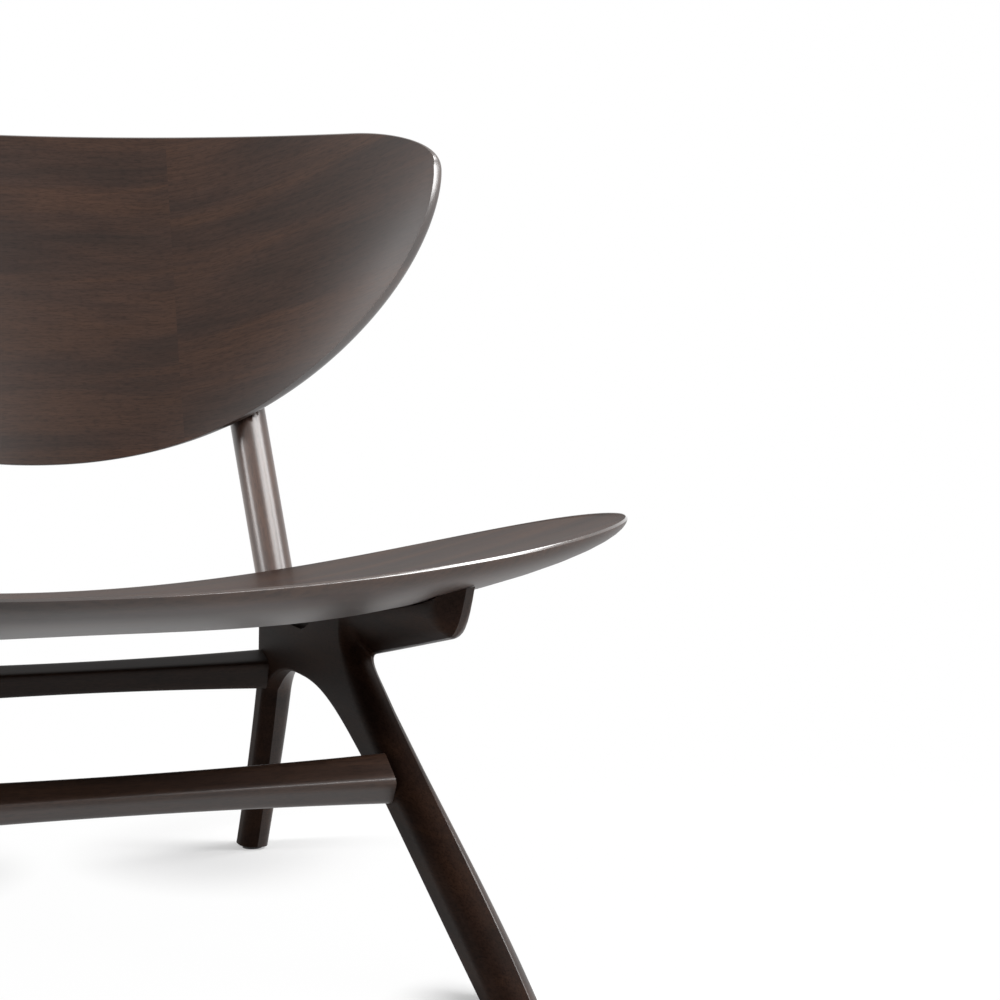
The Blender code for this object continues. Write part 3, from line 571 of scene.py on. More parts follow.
def rail_top(sizes, forward, across):
    """The rail's top: the post's shoulder at the rear, then the seat's underside."""
    scene = bpy.context.scene
    if forward <= post_clear() + 1e-6:
        out = across - post_foot_across()
        post = scene.chair_post
        return post.shoulder_height + scene.chair_back.lean * (forward - post.forward) + post.toe_in * out
    return seat_under(scene.chair_seat, across, forward) - sizes.bed_gap


# Mesh making

def square_to_disc(x, y):
    """Rounds off the unit square, so that a grid becomes a disc with no pole."""
    return x * math.sqrt(1.0 - 0.5 * y * y), y * math.sqrt(1.0 - 0.5 * x * x)


def disc_grid(made, cells):
    """Adds a round grid of radius 1 and returns its vertices."""
    grid = bmesh.ops.create_grid(made, x_segments=cells, y_segments=cells, size=1.0)
    for vert in grid["verts"]:
        x, y = square_to_disc(vert.co.x, vert.co.y)
        vert.co = (x, y, 0.0)
    return grid["verts"]


def bar_rings(steps, sides, point_of, first=0.0):
    """Rings of a bar, from a function of the share of its length and the angle round it."""
    angles = [2.0 * math.pi * (i + first) / sides for i in range(sides)]
    return [[point_of(step / steps, angle) for angle in angles] for step in range(steps + 1)]


def bar_blank(rings):
    """A round bar as long as the list of rings, with a ring's points put where the list says.

    A ring is a list of (place, grain) pairs, and all have as many.
    """
    sides = len(rings[0])
    made = bmesh.new()
    layer = made.verts.layers.float_vector.new(GRAIN)
    bmesh.ops.create_cone(made, cap_ends=True, segments=sides, radius1=1.0, radius2=1.0, depth=1.0)
    uprights = [e for e in made.edges if abs(e.verts[0].co.z - e.verts[1].co.z) > 0.5]
    bmesh.ops.subdivide_edges(made, edges=uprights, cuts=len(rings) - 2)
    for vert in made.verts:
        row = round((vert.co.z + 0.5) * (len(rings) - 1))
        column = math.floor(math.atan2(vert.co.y, vert.co.x) * sides / (2.0 * math.pi) + 0.001) % sides
        point, grain = rings[row][column]
        vert.co = point
        vert[layer] = grain
    return made


def upper_end(made):
    """Edges round the upper cap of a bar."""
    caps = [f for f in made.faces if len(f.verts) > 4]
    return list(max(caps, key=lambda f: f.calc_center_median().z).edges)


def round_over(made, edges, offset, segments=4):
    bmesh.ops.bevel(
        made,
        geom=edges,
        offset=offset,
        offset_type="OFFSET",
        segments=segments,
        profile=0.5,
        affect="EDGES",
        clamp_overlap=True,
        material=-1,
    )


def add_piece(name, made, material, nodes, sharp=40.0):
    """Turns a closed bmesh into a smooth piece that rides on the chair and stands for CAD nodes."""
    if not all(e.is_manifold for e in made.edges):
        raise RuntimeError(f"{name} isn't closed")
    bmesh.ops.recalc_face_normals(made, faces=made.faces)
    mesh = bpy.data.meshes.new(name)
    made.to_mesh(mesh)
    made.free()
    mesh.shade_smooth()
    mesh.set_sharp_from_angle(angle=math.radians(sharp))
    mesh.materials.append(material)
    piece = bpy.data.objects.new(name, mesh)
    bpy.context.scene.collection.objects.link(piece)
    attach(piece, "root")
    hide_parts(*nodes)
    return piece


# Materials

def link(tree, source, output, target, entry):
    tree.links.new(source.outputs[output], target.inputs[entry])


def add_node(tree, kind, **values):
    node = tree.nodes.new(kind)
    for name, value in values.items():
        setattr(node, name, value)
    return node


def stretched_noise(tree, coordinates, scale, detail, roughness, distortion=0.0):
    """Noise drawn out along the grain. The scale counts features in each metre."""
    mapping = add_node(tree, "ShaderNodeMapping")
    mapping.inputs["Scale"].default_value = scale
    tree.links.new(coordinates, mapping.inputs["Vector"])
    noise = add_node(tree, "ShaderNodeTexNoise")
    noise.inputs["Scale"].default_value = 1.0
    noise.inputs["Detail"].default_value = detail
    noise.inputs["Roughness"].default_value = roughness
    noise.inputs["Distortion"].default_value = distortion
    link(tree, mapping, "Vector", noise, "Vector")
    return noise.outputs["Fac"]


def ramp(tree, value, stops):
    """A colour ramp with these (place, colour) stops."""
    node = add_node(tree, "ShaderNodeValToRGB")
    elements = node.color_ramp.elements
    while len(elements) < len(stops):
        elements.new(0.5)
    for element, (position, shade) in zip(elements, stops):
        element.position = position
        element.color = (*shade, 1.0)
    tree.links.new(value, node.inputs["Fac"])
    return node.outputs["Color"]


def combine(tree, operation, one, other):
    """Works one number out of two."""
    node = add_node(tree, "ShaderNodeMath", operation=operation)
    tree.links.new(one, node.inputs[0])
    tree.links.new(other, node.inputs[1])
    return node.outputs["Value"]


def mix_shaders(tree, share, one, other, output):
    """Sends a mix of two shaders to an output."""
    mix = add_node(tree, "ShaderNodeMixShader")
    tree.links.new(share, mix.inputs["Fac"])
    tree.links.new(one, mix.inputs[1])
    tree.links.new(other, mix.inputs[2])
    tree.links.new(mix.outputs["Shader"], tree.nodes[output].inputs["Surface"])


def multiply(tree, base, shade, amount):
    node = add_node(tree, "ShaderNodeMix", data_type="RGBA", blend_type="MULTIPLY")
    node.inputs["Factor"].default_value = amount
    tree.links.new(base, node.inputs[6])
    tree.links.new(shade, node.inputs[7])
    return node.outputs[2]


def new_material(name):
    made = bpy.data.materials.new(name)
    made.use_nodes = True
    return made, made.node_tree, made.node_tree.nodes["Principled BSDF"]


def seen_directly(tree):
    """1 for what the camera sees, straight or in gloss and glass, and 0 for light that scatters."""
    path = add_node(tree, "ShaderNodeLightPath")
    seen = path.outputs["Is Camera Ray"]
    for ray in ("Is Glossy Ray", "Is Transmission Ray"):
        seen = combine(tree, "MAXIMUM", seen, path.outputs[ray])
    return seen


def grain_coordinates(tree, boards):
    """Coordinates along, across and through the grain, set over beyond the joints of a board this wide."""
    node = add_node(tree, "ShaderNodeAttribute", attribute_name=GRAIN)
    if not boards:
        return node.outputs["Vector"]
    split = add_node(tree, "ShaderNodeSeparateXYZ")
    link(tree, node, "Vector", split, "Vector")
    away = add_node(tree, "ShaderNodeMath", operation="ABSOLUTE")
    link(tree, split, "X", away, 0)
    beyond = add_node(tree, "ShaderNodeMath", operation="GREATER_THAN")
    link(tree, away, "Value", beyond, 0)
    beyond.inputs[1].default_value = 0.5 * boards
    step = add_node(tree, "ShaderNodeVectorMath", operation="SCALE")
    step.inputs[0].default_value = BOARD_SHIFT
    link(tree, beyond, "Value", step, "Scale")
    moved = add_node(tree, "ShaderNodeVectorMath", operation="ADD")
    link(tree, node, "Vector", moved, 0)
    link(tree, step, "Vector", moved, 1)
    return moved.outputs["Vector"]


def varnished_timber(
    name, gloss=0.5, coat=0.3, roughness=0.38, coat_roughness=0.20, boards=0.0, shade=1.0
):
    """Dark stained timber with streaks, pores and a satin varnish. A shade above 1 paints light into its
    colours and one below 1 paints shade.
    """
    finish = bpy.context.scene.chair_finish
    made, tree, shader = new_material(name)
    grain = grain_coordinates(tree, boards)
    # A shade other than 1 makes a lit or shaded copy of the same stain: painted light above 1, painted shade
    # below 1.
    stains = (finish.dark, finish.brown, finish.red)
    dark, brown, red = (tuple(shade * part for part in stain) for stain in stains)
    streaks = stretched_noise(tree, grain, *STREAKS)
    tone = ramp(tree, streaks, ((0.30, dark), (0.46, brown), (0.60, red), (0.72, brown)))
    noises = {}
    for layer, (noise, start, darkest, end, amount) in DARKENING.items():
        noises[layer] = stretched_noise(tree, grain, *noise)
        tone = multiply(tree, tone, ramp(tree, noises[layer], ((start, darkest), (end, WHITE))), amount)
    tree.links.new(tone, shader.inputs["Base Color"])
    rough = add_node(tree, "ShaderNodeMapRange")
    rough.inputs["To Min"].default_value = roughness - 0.03
    rough.inputs["To Max"].default_value = roughness + 0.05
    tree.links.new(noises["lines"], rough.inputs["Value"])
    link(tree, rough, "Result", shader, "Roughness")
    bump = add_node(tree, "ShaderNodeBump")
    bump.inputs["Strength"].default_value = 0.025
    bump.inputs["Distance"].default_value = 0.0004
    tree.links.new(noises["lines"], bump.inputs["Height"])
    link(tree, bump, "Normal", shader, "Normal")
    shader.inputs["Specular IOR Level"].default_value = gloss
    shader.inputs["Coat Weight"].default_value = coat
    shader.inputs["Coat Roughness"].default_value = coat_roughness
    return made


def speckled(name, tone, noise, stops, darkest, roughness, metallic=0.0):
    """A plain finish with fine speckles of a darker tone.

    The noise is its scale, detail and roughness. The stops are where it is darkest and where it is plain.
    """
    made, tree, shader = new_material(name)
    where = add_node(tree, "ShaderNodeTexCoord").outputs["Object"]
    darker = tuple(darkest * part for part in tone)
    shades = ramp(tree, stretched_noise(tree, where, *noise), tuple(zip(stops, (darker, tone))))
    tree.links.new(shades, shader.inputs["Base Color"])
    shader.inputs["Metallic"].default_value = metallic
    shader.inputs["Roughness"].default_value = roughness
    return made


# Pieces

def grow_loops(made, ring, turns, places):
    """Extrudes a rim outwards, loop after loop.

    The turns say where round the rim each of its vertices lies, and each of the places puts a vertex
    for such a turn.
    """
    for put in places:
        grown = bmesh.ops.extrude_edge_only(made, edges=ring)["geom"]
        ring = [e for e in grown if isinstance(e, bmesh.types.BMEdge)]
        following = {}
        for vert in {v for e in ring for v in e.verts}:
            base = next(e.other_vert(vert) for e in vert.link_edges if e.other_vert(vert) in turns)
            following[vert] = turns[base]
            put(vert, following[vert])
        turns = following


def close_rims(made):
    """Joins the open rims that lie on each other."""
    rims = list({v for e in made.edges if e.is_boundary for v in e.verts})
    bmesh.ops.remove_doubles(made, verts=rims, dist=0.00002)
    bmesh.ops.recalc_face_normals(made, faces=made.faces)


class CHAIR_OT_seat(bpy.types.Operator):
    """Shapes the dished, winged seat"""

    bl_idname = "chair.seat"
    bl_label = "Seat"

    def execute(self, context):
        seat = context.scene.chair_seat
        made = bmesh.new()
        layer = made.verts.layers.float_vector.new(GRAIN)
        arc_steps = 5
        falls = (0.08, 0.11, 0.15, 0.20, 0.26, 0.33, 0.41, 0.50, 0.59, 0.68, 0.77, 0.85)
        flat = math.sqrt(1.0 - falls[-1] ** (1.0 / seat.under_power))

        def plan(turn, spread, inset=0.0):
            """Across and forward at a turn round the seat's middle."""
            reach = seat.front_reach if math.sin(turn) > 0.0 else seat.rear_reach
            across = seat.half_width * math.cos(turn)
            ahead = reach * math.sin(turn)
            part = spread - inset / math.hypot(across, ahead)
            return across * part, seat.centre_forward + ahead * part

        def put(vert, across, forward, height):
            vert.co = place(across, forward, height)
            vert[layer] = (across, forward, seat.grain_rise * height)

        def put_disc(verts, surface, size):
            turns = {}
            for vert in verts:
                turn = math.atan2(vert.co.y, vert.co.x)
                spread = size(turn) * min(1.0, math.hypot(vert.co.x, vert.co.y))
                across, forward = plan(turn, spread)
                put(vert, across, forward, surface(seat, across, forward))
                turns[vert] = turn
            return turns

        def arc_place(step):
            bend = 0.5 * math.pi * step / arc_steps

            def put_arc(vert, turn):
                full = 2.0 / seat.arris_power
                across, forward = plan(turn, 1.0, seat.arris * (1.0 - math.sin(bend) ** full))
                rim = seat_level(seat, *plan(turn, 1.0))
                put(vert, across, forward, rim - seat.arris * (1.0 - max(0.0, math.cos(bend)) ** full))

            return put_arc

        def under_place(fall):
            spread = math.sqrt(1.0 - fall ** (1.0 / seat.under_power))

            def put_under(vert, turn):
                across, forward = plan(turn, spread)
                put(vert, across, forward, seat_under(seat, across, forward))

            return put_under

        def top_size(turn):
            across, forward = plan(turn, 1.0)
            return 1.0 - seat.arris / math.hypot(across, forward - seat.centre_forward)

        turns = put_disc(disc_grid(made, seat.cells), seat_top, top_size)
        top_faces = len(made.faces)
        ring = [e for e in made.edges if e.is_boundary]
        turns = {v: turns[v] for e in ring for v in e.verts}
        places = [arc_place(step) for step in range(1, arc_steps + 1)] + [under_place(fall) for fall in falls]
        grow_loops(made, ring, turns, places)
        put_disc(disc_grid(made, seat.cells), seat_under, lambda turn: flat)
        close_rims(made)
        edge = varnished_timber("seat_edge_timber", 0.5, 0.25, 0.5, 0.35)
        piece = add_piece("seat", made, edge, ["seat_shell"], sharp=60.0)
        piece.data.materials.append(varnished_timber("seat_top_timber", 0.12, 0.03, 0.54))
        piece.data.materials.append(varnished_timber("seat_rim_timber", 0.8, 1.0, 0.22, 0.12))
        for face in piece.data.polygons[:top_faces]:
            face.material_index = 1
        for face in piece.data.polygons[top_faces:top_faces + len(ring) * arc_steps]:
            face.material_index = 2
        return {"FINISHED"}


def flank_share(out):
    """1 on the flanks of the back's outline and 0 along its top and bottom, from its outward direction."""
    slope = math.degrees(math.atan2(out.y, abs(out.x)))
    return ease(slope, *(RIM_ABOVE if slope > 0.0 else RIM_BELOW))


class CHAIR_OT_back(bpy.types.Operator):
    """Shapes the half-moon back with its rolled rim"""

    bl_idname = "chair.back"
    bl_label = "Back"

    def execute(self, context):
        back = context.scene.chair_back
        outline = back_outline(back)
        deep = 2.0 * back_half(back)
        made = bmesh.new()
        layer = made.verts.layers.float_vector.new(GRAIN)
        rim_steps = 8
        steepest = 0.9
        edges = {}

        def edge_of(turn):
            """The outline's point at a turn, its inward direction, its front and rear insets, and the
            share of the thickness at which it stands out."""
            if turn not in edges:
                inward = outline_inward(outline, turn)
                flank = flank_share(-inward)
                front = back.front_arris + back.rim_width * flank
                rear = back.rear_round * (1.0 - back.rear_narrowing * flank)
                middle = blend(back.rim_depth, back.rim_depth_flank, flank)
                edges[turn] = outline_point(outline, turn), inward, front, rear, middle
            return edges[turn]

        def put(vert, turn, inset, depth, spread=1.0):
            point, inward = edge_of(turn)[:2]
            across, rise = (point + inset * inward) * spread
            height = back.hub_height + rise
            slope = math.degrees(math.atan2(rise, abs(across)))
            flank = ease(slope, *CURL_BELOW) * ease(slope, *CURL_ABOVE)
            out = max(0.0, (spread - back.curl_start) / (1.0 - back.curl_start))
            curl = back.curl * flank * out ** 2 * (1.0 - depth / deep)
            vert.co = place(across, back_middle(back, across, height) + 0.5 * deep - depth + curl, height)
            beyond = max(0.0, abs(across) - back.grain_start * back.board)
            vert[layer] = (across, height - back.grain_fan * beyond ** back.grain_power, depth)

        def front_place(step):
            share = step / rim_steps

            def put_front(vert, turn):
                width, depth = edge_of(turn)[2], deep * edge_of(turn)[4]
                steep = min(steepest * depth, width * math.tan(back.rim_turn))
                fall = 2.0 * share * (1.0 - share) * steep + share * share * depth
                put(vert, turn, width * (1.0 - share) ** 2, fall)

            return put_front

        def rear_place(step):
            bend = 0.5 * math.pi * step / rim_steps

            def put_rear(vert, turn):
                middle = edge_of(turn)[4]
                depth = deep * blend(middle, 1.0, math.sin(bend))
                put(vert, turn, edge_of(turn)[3] * (1.0 - math.cos(bend)), depth)

            return put_rear

        def put_disc(inset_of, depth):
            turns = {}
            for vert in disc_grid(made, back.cells):
                turn = (math.atan2(vert.co.y, vert.co.x) / (2.0 * math.pi)) % 1.0
                spread = min(1.0, math.hypot(vert.co.x, vert.co.y))
                turns[vert] = turn
                put(vert, turn, inset_of(turn), depth, spread)
            return turns

        turns = put_disc(lambda turn: edge_of(turn)[2], 0.0)
        front_faces = len(made.faces)
        creases = [e for e in made.edges if e.is_boundary]
        turns = {v: turns[v] for e in creases for v in e.verts}
        steps = range(1, rim_steps + 1)
        grow_loops(made, creases, turns, [front_place(s) for s in steps] + [rear_place(s) for s in steps])
        for face in made.faces[front_faces:]:
            face.material_index = 1
        put_disc(lambda turn: edge_of(turn)[3], deep)
        close_rims(made)
        timber = varnished_timber("back_timber", 0.16, 0.08, 0.36, boards=back.board)
        piece = add_piece("back", made, timber, ["back_shell"], sharp=30.0)
        piece.data.materials.append(varnished_timber("back_rim_timber", 0.8, 0.9, 0.34))
        return {"FINISHED"}


def stretch(inner_of, outer_of, steps, inner_round, outer_round):
    """A part of a frame's outline: points inside and outside, each with its arris.

    An arris is (width on the broad face, depth into the edge, power of its curve), and the roundings are
    the (start, end) of a stretch.
    """
    found = []
    for step in range(steps + 1):
        share = step / steps
        rounds = along(*inner_round, share), along(*outer_round, share)
        found.append((inner_of(share), outer_of(share), *rounds))
    return found


def with_inner_round(points, round_of):
    """A stretch with the inner arris that a function gives for each share of the way."""
    last = len(points) - 1
    return [
        (inner, outer, round_of(i / last), outer_round)
        for i, (inner, outer, _, outer_round) in enumerate(points)
    ]


def mix_edge(one, other, share):
    """A point between two points of an outline."""
    return tuple(along(a, b, share) for a, b in zip(one, other))


def cut_back(points, reach):
    """Drops the end of a stretch within this reach of it, and ends it just there."""
    last = points[-1]
    kept = list(points)
    while len(kept) > 1 and math.dist(kept[-1][0], last[0]) < reach:
        dropped = kept.pop()
    near = math.dist(kept[-1][0], last[0])
    far = math.dist(dropped[0], last[0])
    share = (near - reach) / max(1e-9, near - far)
    return kept + [mix_edge(kept[-1], dropped, min(0.98, max(0.02, share)))]


def join_rounded(before, after, reach, steps=6):
    """Joins two stretches with a rounded corner of this reach."""
    corner = mix_edge(before[-1], after[0], 0.5)
    before = cut_back(before, reach)
    after = cut_back(after[::-1], reach)[::-1]
    rounded = []
    for step in range(1, steps):
        share = step / steps
        one = mix_edge(before[-1], corner, share)
        other = mix_edge(corner, after[0], share)
        rounded.append(mix_edge(one, other, share))
    return before + rounded + after


def frame_outline(sizes):
    """The outline of a side frame seen from the side, running up the rear leg and round to it again.

    Both feet run on below the floor, and are sawn off later.
    """
    notch_in = (sizes.notch_forward, sizes.notch_height)
    notch_out = (sizes.notch_outer, sizes.notch_low)
    foot_in = (sizes.front_front, sizes.foot_height)
    foot_out = (sizes.front_front - sizes.front_taper, sizes.foot_height)
    clear = post_clear()
    shoulder_level = bpy.context.scene.chair_post.shoulder_height
    corner = rear_leg_back(sizes, sizes.rear_end)
    end_in = sizes.beak_end - sizes.beak_rake
    end_out = end_in - sizes.beak_slant
    below = -sizes.saw_allowance
    reach_down = sizes.foot_height - below

    def top_inner(forward):
        across = inner_face(sizes, forward, shoulder_level)
        return forward, rail_top(sizes, forward, across)

    def top_outer(forward):
        forward -= sizes.beak_slant * front_share(sizes, forward)
        across = inner_face(sizes, forward, shoulder_level) + sizes.rail_thickness
        return forward, rail_top(sizes, forward, across)

    def under_inner(share):
        forward = blend(notch_in[0], end_in, share)
        return forward, notch_in[1] + sizes.beak_slope * (forward - notch_in[0])

    def under_outer(share):
        forward = blend(notch_out[0], end_out, share)
        return forward, notch_out[1] + sizes.beak_low_slope * (forward - notch_out[0])

    def leg_inner(share):
        fore, rise = math.cos(sizes.leg_turn), math.sin(sizes.leg_turn)
        foot_pull = (foot_in[0] - sizes.foot_pull * fore, foot_in[1] + sizes.foot_pull * rise)
        notch_pull = (notch_in[0] + sizes.notch_pull * fore, notch_in[1] - sizes.notch_pull * rise)
        return bezier(foot_in, foot_pull, notch_pull, notch_in, share)

    def leg_outer(share):
        point = along(foot_out, notch_out, share)
        return point[0] + sizes.outer_bow * 4.0 * share * (1.0 - share), point[1]

    def leg_behind(share):
        return arch_front(sizes, 1.0 - share)

    def run_on(way, near):
        """An edge of the front leg, carried straight on below its foot as it runs near it."""
        (foot, _), (above, height) = way(0.0), way(near)
        slide = (foot - above) / (height - sizes.foot_height)
        return lambda share: (foot + slide * reach_down * share, sizes.foot_height - reach_down * share)

    def upright(edge, low, high):
        """An edge of the rear leg between two heights."""
        return lambda share: (edge(sizes, blend(low, high, share)), blend(low, high, share))

    def under_round(share):
        """The rounding under the beak, from its end to the notch."""
        swelling = along(beak_end, beak_under, min(1.0, share / BEAK_CHANGE))
        return along(swelling, notch, ease(share, 1.0 - BEAK_CHANGE, 1.0))

    def leg_round(share):
        """The front leg's inner rounding, from the notch to the foot."""
        return along(notch, soft, ease(share, 0.0, NOTCH_FADE))

    def both(way, steps, inner_round, outer_round):
        return stretch(way, way, steps, inner_round, outer_round)

    def tops(low, high, steps):
        return stretch(
            lambda share: top_inner(blend(low, high, share)),
            lambda share: top_outer(blend(low, high, share)),
            steps,
            (top, top),
            (top, top),
        )

    rear, plain, top, soft, crisp, hind, thin = (
        (round_size, round_size, 2.0)
        for round_size in (
            sizes.rear_arris,
            sizes.arris,
            sizes.top_arris,
            sizes.soft_arris,
            sizes.crisp_arris,
            sizes.leg_rear_arris,
            sizes.rear_edge_arris,
        )
    )
    beak_end = (sizes.beak_end_width, sizes.beak_end_depth, sizes.beak_power)
    beak_under = (sizes.beak_under_width, sizes.beak_under_depth, sizes.beak_power)
    notch = (sizes.notch_width, sizes.notch_depth, sizes.beak_power)
    facet = (sizes.facet_width, sizes.facet_depth, sizes.facet_power)
    bend = blend(sizes.rear_joint, sizes.rear_end, REAR_ROUND_END)

    path = both(upright(rear_leg_back, below, bend), 24, (rear, rear), (rear, rear))
    path += both(upright(rear_leg_back, bend, sizes.rear_end), 10, (rear, top), (rear, top))[1:]
    path = join_rounded(path, tops(corner, clear, 10), REAR_CORNER)
    path += tops(clear + SHOULDER_STEP, clear + sizes.shoulder_ramp, 4)
    path += tops(clear + sizes.shoulder_ramp, sizes.beak_end, 60)[1:]
    top_end_in, top_end_out = top_inner(sizes.beak_end), top_outer(sizes.beak_end)
    beak = stretch(
        lambda share: along(top_end_in, under_inner(1.0), share),
        lambda share: along(top_end_out, under_outer(1.0), share),
        10,
        (top, beak_end),
        (top, facet),
    )
    path += beak[1:]
    under = stretch(
        lambda share: under_inner(1.0 - share),
        lambda share: under_outer(1.0 - share),
        24,
        (beak_end, notch),
        (facet, crisp),
    )
    path = join_rounded(path, with_inner_round(under, under_round), sizes.beak_corner)
    leg = stretch(
        lambda share: leg_inner(1.0 - share),
        lambda share: leg_outer(1.0 - share),
        60,
        (notch, soft),
        (crisp, facet),
    )
    path = join_rounded(path, with_inner_round(leg, leg_round), sizes.notch_reach)
    path += stretch(run_on(leg_inner, 0.04), run_on(leg_outer, 0.04), 6, (soft, soft), (facet, facet))[1:]
    behind = run_on(leg_behind, 0.03)
    path += both(lambda share: behind(1.0 - share), 6, (hind, hind), (plain, plain))
    path += both(leg_behind, 70, (hind, thin), (plain, plain))[1:]
    path += stretch(
        lambda share: arch_rear_inner(sizes, 1.0 - share),
        lambda share: arch_rear(sizes, 1.0 - share),
        30,
        (thin, thin),
        (plain, rear),
    )[1:]
    path += stretch(
        upright(rear_inner_edge, sizes.arch_low, below),
        upright(rear_leg_front, sizes.arch_start, below),
        24,
        (thin, rear),
        (rear, rear),
    )[1:]
    return path


def inward_directions(points):
    """Unit vectors that point inwards from a closed run of (forward, height) points that turns clockwise."""
    found = []
    for before, after in zip(points[-1:] + points[:-1], points[1:] + points[:1]):
        run = Vector((after[0] - before[0], after[1] - before[1])).normalized()
        found.append(Vector((run.y, -run.x)))
    return found


def frame_plate(sizes):
    """A side frame laid flat: a plate with rounded arrises, as rings of (depth share, forward, height).

    A point's grain is (1, 0, 0) on the outer arris, and otherwise nothing.
    """
    path = frame_outline(sizes)
    inner_in = inward_directions([edge[0] for edge in path])
    outer_in = inward_directions([edge[1] for edge in path])
    arc_steps = 7
    edge_steps = 5
    rings = []

    def add_ring(place_of):
        ring = []
        for edge, one, other in zip(path, inner_in, outer_in):
            through, inset = place_of(edge)
            inward = one.lerp(other, through).normalized()
            forward, height = Vector(along(edge[0], edge[1], through)) + inward * inset
            ring.append(Vector((through, forward, height)))
        rings.append(ring)

    thick = sizes.rail_thickness

    def arris_share(arris, bend):
        """The share of the thickness and the inset at a bend round an arris."""
        width, depth, power = arris
        fall = math.sin(bend) ** (2.0 / power)
        run = max(0.0, math.cos(bend)) ** (2.0 / power)
        return depth / thick * (1.0 - fall), width * (1.0 - run)

    def outer_share(arris, bend):
        """The same for an arris on the outer face."""
        share, inset = arris_share(arris, bend)
        return 1.0 - share, inset

    for step in range(arc_steps + 1):
        bend = 0.5 * math.pi * step / arc_steps
        add_ring(lambda e: arris_share(e[2], bend))
    rings.reverse()
    for step in range(1, edge_steps):
        share = step / edge_steps
        add_ring(lambda e: (blend(e[2][1], thick - e[3][1], share) / thick, 0.0))
    for step in range(arc_steps + 1):
        bend = 0.5 * math.pi * step / arc_steps
        add_ring(lambda e: outer_share(e[3], bend))
    outer_arris = len(rings) - arc_steps - 1
    return [
        [(point, (float(outer_arris <= i < len(rings) - 1), 0.0, 0.0)) for point in ring]
        for i, ring in enumerate(rings)
    ]


def slice_faces(made, faces, point, normal):
    """Cuts faces at a plane, and returns them and what they were cut into."""
    edges = list({e for f in faces for e in f.edges})
    verts = list({v for f in faces for v in f.verts})
    cut = bmesh.ops.bisect_plane(
        made, geom=verts + edges + faces, dist=CUT_SNAP, plane_co=point, plane_no=normal
    )
    return [g for g in cut["geom"] if isinstance(g, bmesh.types.BMFace)]


def is_broad(face):
    """Whether a face lies on a broad side of a flat plate."""
    return abs(face.normal.x) > 0.999 and face.calc_center_median().x in (0.0, 1.0)


def cut_grid(made, cell):
    """Cuts the two broad faces of a flat plate into cells, so that they can be bent."""
    for axis, normal in PLATE_AXES:
        low = min(v.co[axis] for v in made.verts)
        high = max(v.co[axis] for v in made.verts)
        for step in range(1, math.ceil((high - low) / cell)):
            broad = [f for f in made.faces if is_broad(f)]
            slice_faces(made, broad, normal * (low + cell * step), normal)


def cut_pocket(made, sizes, steps=12):
    """Cuts the inner broad face finer round the screw pocket."""
    middle = Vector((0.0, sizes.pocket_forward, sizes.pocket_height))
    reach = Vector((0.0, sizes.pocket_length, sizes.pocket_drop))
    margin = Vector((0.0, 1.2, 1.3))

    def beside(face):
        away = face.calc_center_median() - middle
        return away.x == 0.0 and all(abs(away[i]) < margin[i] * reach[i] for i in (1, 2))

    near = [f for f in made.faces if beside(f)]
    for axis, normal in PLATE_AXES:
        for step in range(-steps, steps + 1):
            near = slice_faces(made, near, middle + normal * reach[axis] * step / steps, normal)


def keep_side(made, point, normal):
    """Saws a piece off at a plane, keeps what lies behind it, and returns the rim of the cut."""
    geometry = made.verts[:] + made.edges[:] + made.faces[:]
    cut = bmesh.ops.bisect_plane(
        made, geom=geometry, dist=CUT_SNAP, plane_co=point, plane_no=normal, clear_outer=True
    )["geom_cut"]
    rim = [e for e in cut if isinstance(e, bmesh.types.BMEdge)]
    bmesh.ops.holes_fill(made, edges=rim, sides=0)
    return [e for e in rim if e.is_valid]


class CHAIR_OT_side_frames(bpy.types.Operator):
    """Shapes the rails, the rear legs and the front legs of both side frames"""

    bl_idname = "chair.side_frames"
    bl_label = "Side Frames"

    def execute(self, context):
        sizes = context.scene.chair_frame
        # The broad faces take a copy of the timber darkened to 0.55: painted shade for frames that stand
        # under the seat.
        timber = varnished_timber("frame_timber_painted_shade", 0.03, 0.0, 0.52, shade=0.55)
        # The outer arris takes a lighter copy, shade 0.9 against 0.55: painted light along the edge that
        # catches the lamps.
        edge_timber = varnished_timber("frame_edge_timber_painted_light", 0.3, 0.15, 0.40, shade=0.9)
        flat = bar_blank(frame_plate(sizes))
        bmesh.ops.recalc_face_normals(flat, faces=flat.faces)
        layer = flat.verts.layers.float_vector.get(GRAIN)
        # Faces on the outer arris get the lighter copy of the timber: painted light.
        for face in flat.faces:
            on_arris = sum(v[layer].x for v in face.verts)
            face.material_index = int(len(face.verts) == 4 and on_arris >= 2.0)
        cut_grid(flat, sizes.cell)
        cut_pocket(flat, sizes)
        inner_side = 0.1
        whole = bpy.data.meshes.new("plate")
        flat.to_mesh(whole)
        flat.free()
        for word, side in SIDES:
            made = bmesh.new()
            made.from_mesh(whole)
            layer = made.verts.layers.float_vector.get(GRAIN)
            for vert in made.verts:
                through, forward, height = vert.co
                thick = frame_thickness(sizes, forward, height)
                if through < inner_side:
                    through += pocket_share(sizes, forward, height) * sizes.pocket_depth / thick
                across = inner_face(sizes, forward, height) + through * thick
                vert.co = place(side * across, forward, height)
                vert[layer] = (forward, height, through * thick)
            bmesh.ops.recalc_face_normals(made, faces=made.faces)
            feet = keep_side(made, Vector((0.0, 0.0, sizes.foot_height)), Vector((0.0, 0.0, -1.0)))
            bmesh.ops.recalc_face_normals(made, faces=made.faces)
            round_over(made, feet, sizes.foot_arris, 3)
            nodes = [f"{word}_{part}" for part in ("seat_rail", "front_leg", "rear_leg")]
            piece = add_piece(f"{word}_side_frame", made, timber, nodes)
            piece.data.materials.append(edge_timber)
        bpy.data.meshes.remove(whole)
        return {"FINISHED"}


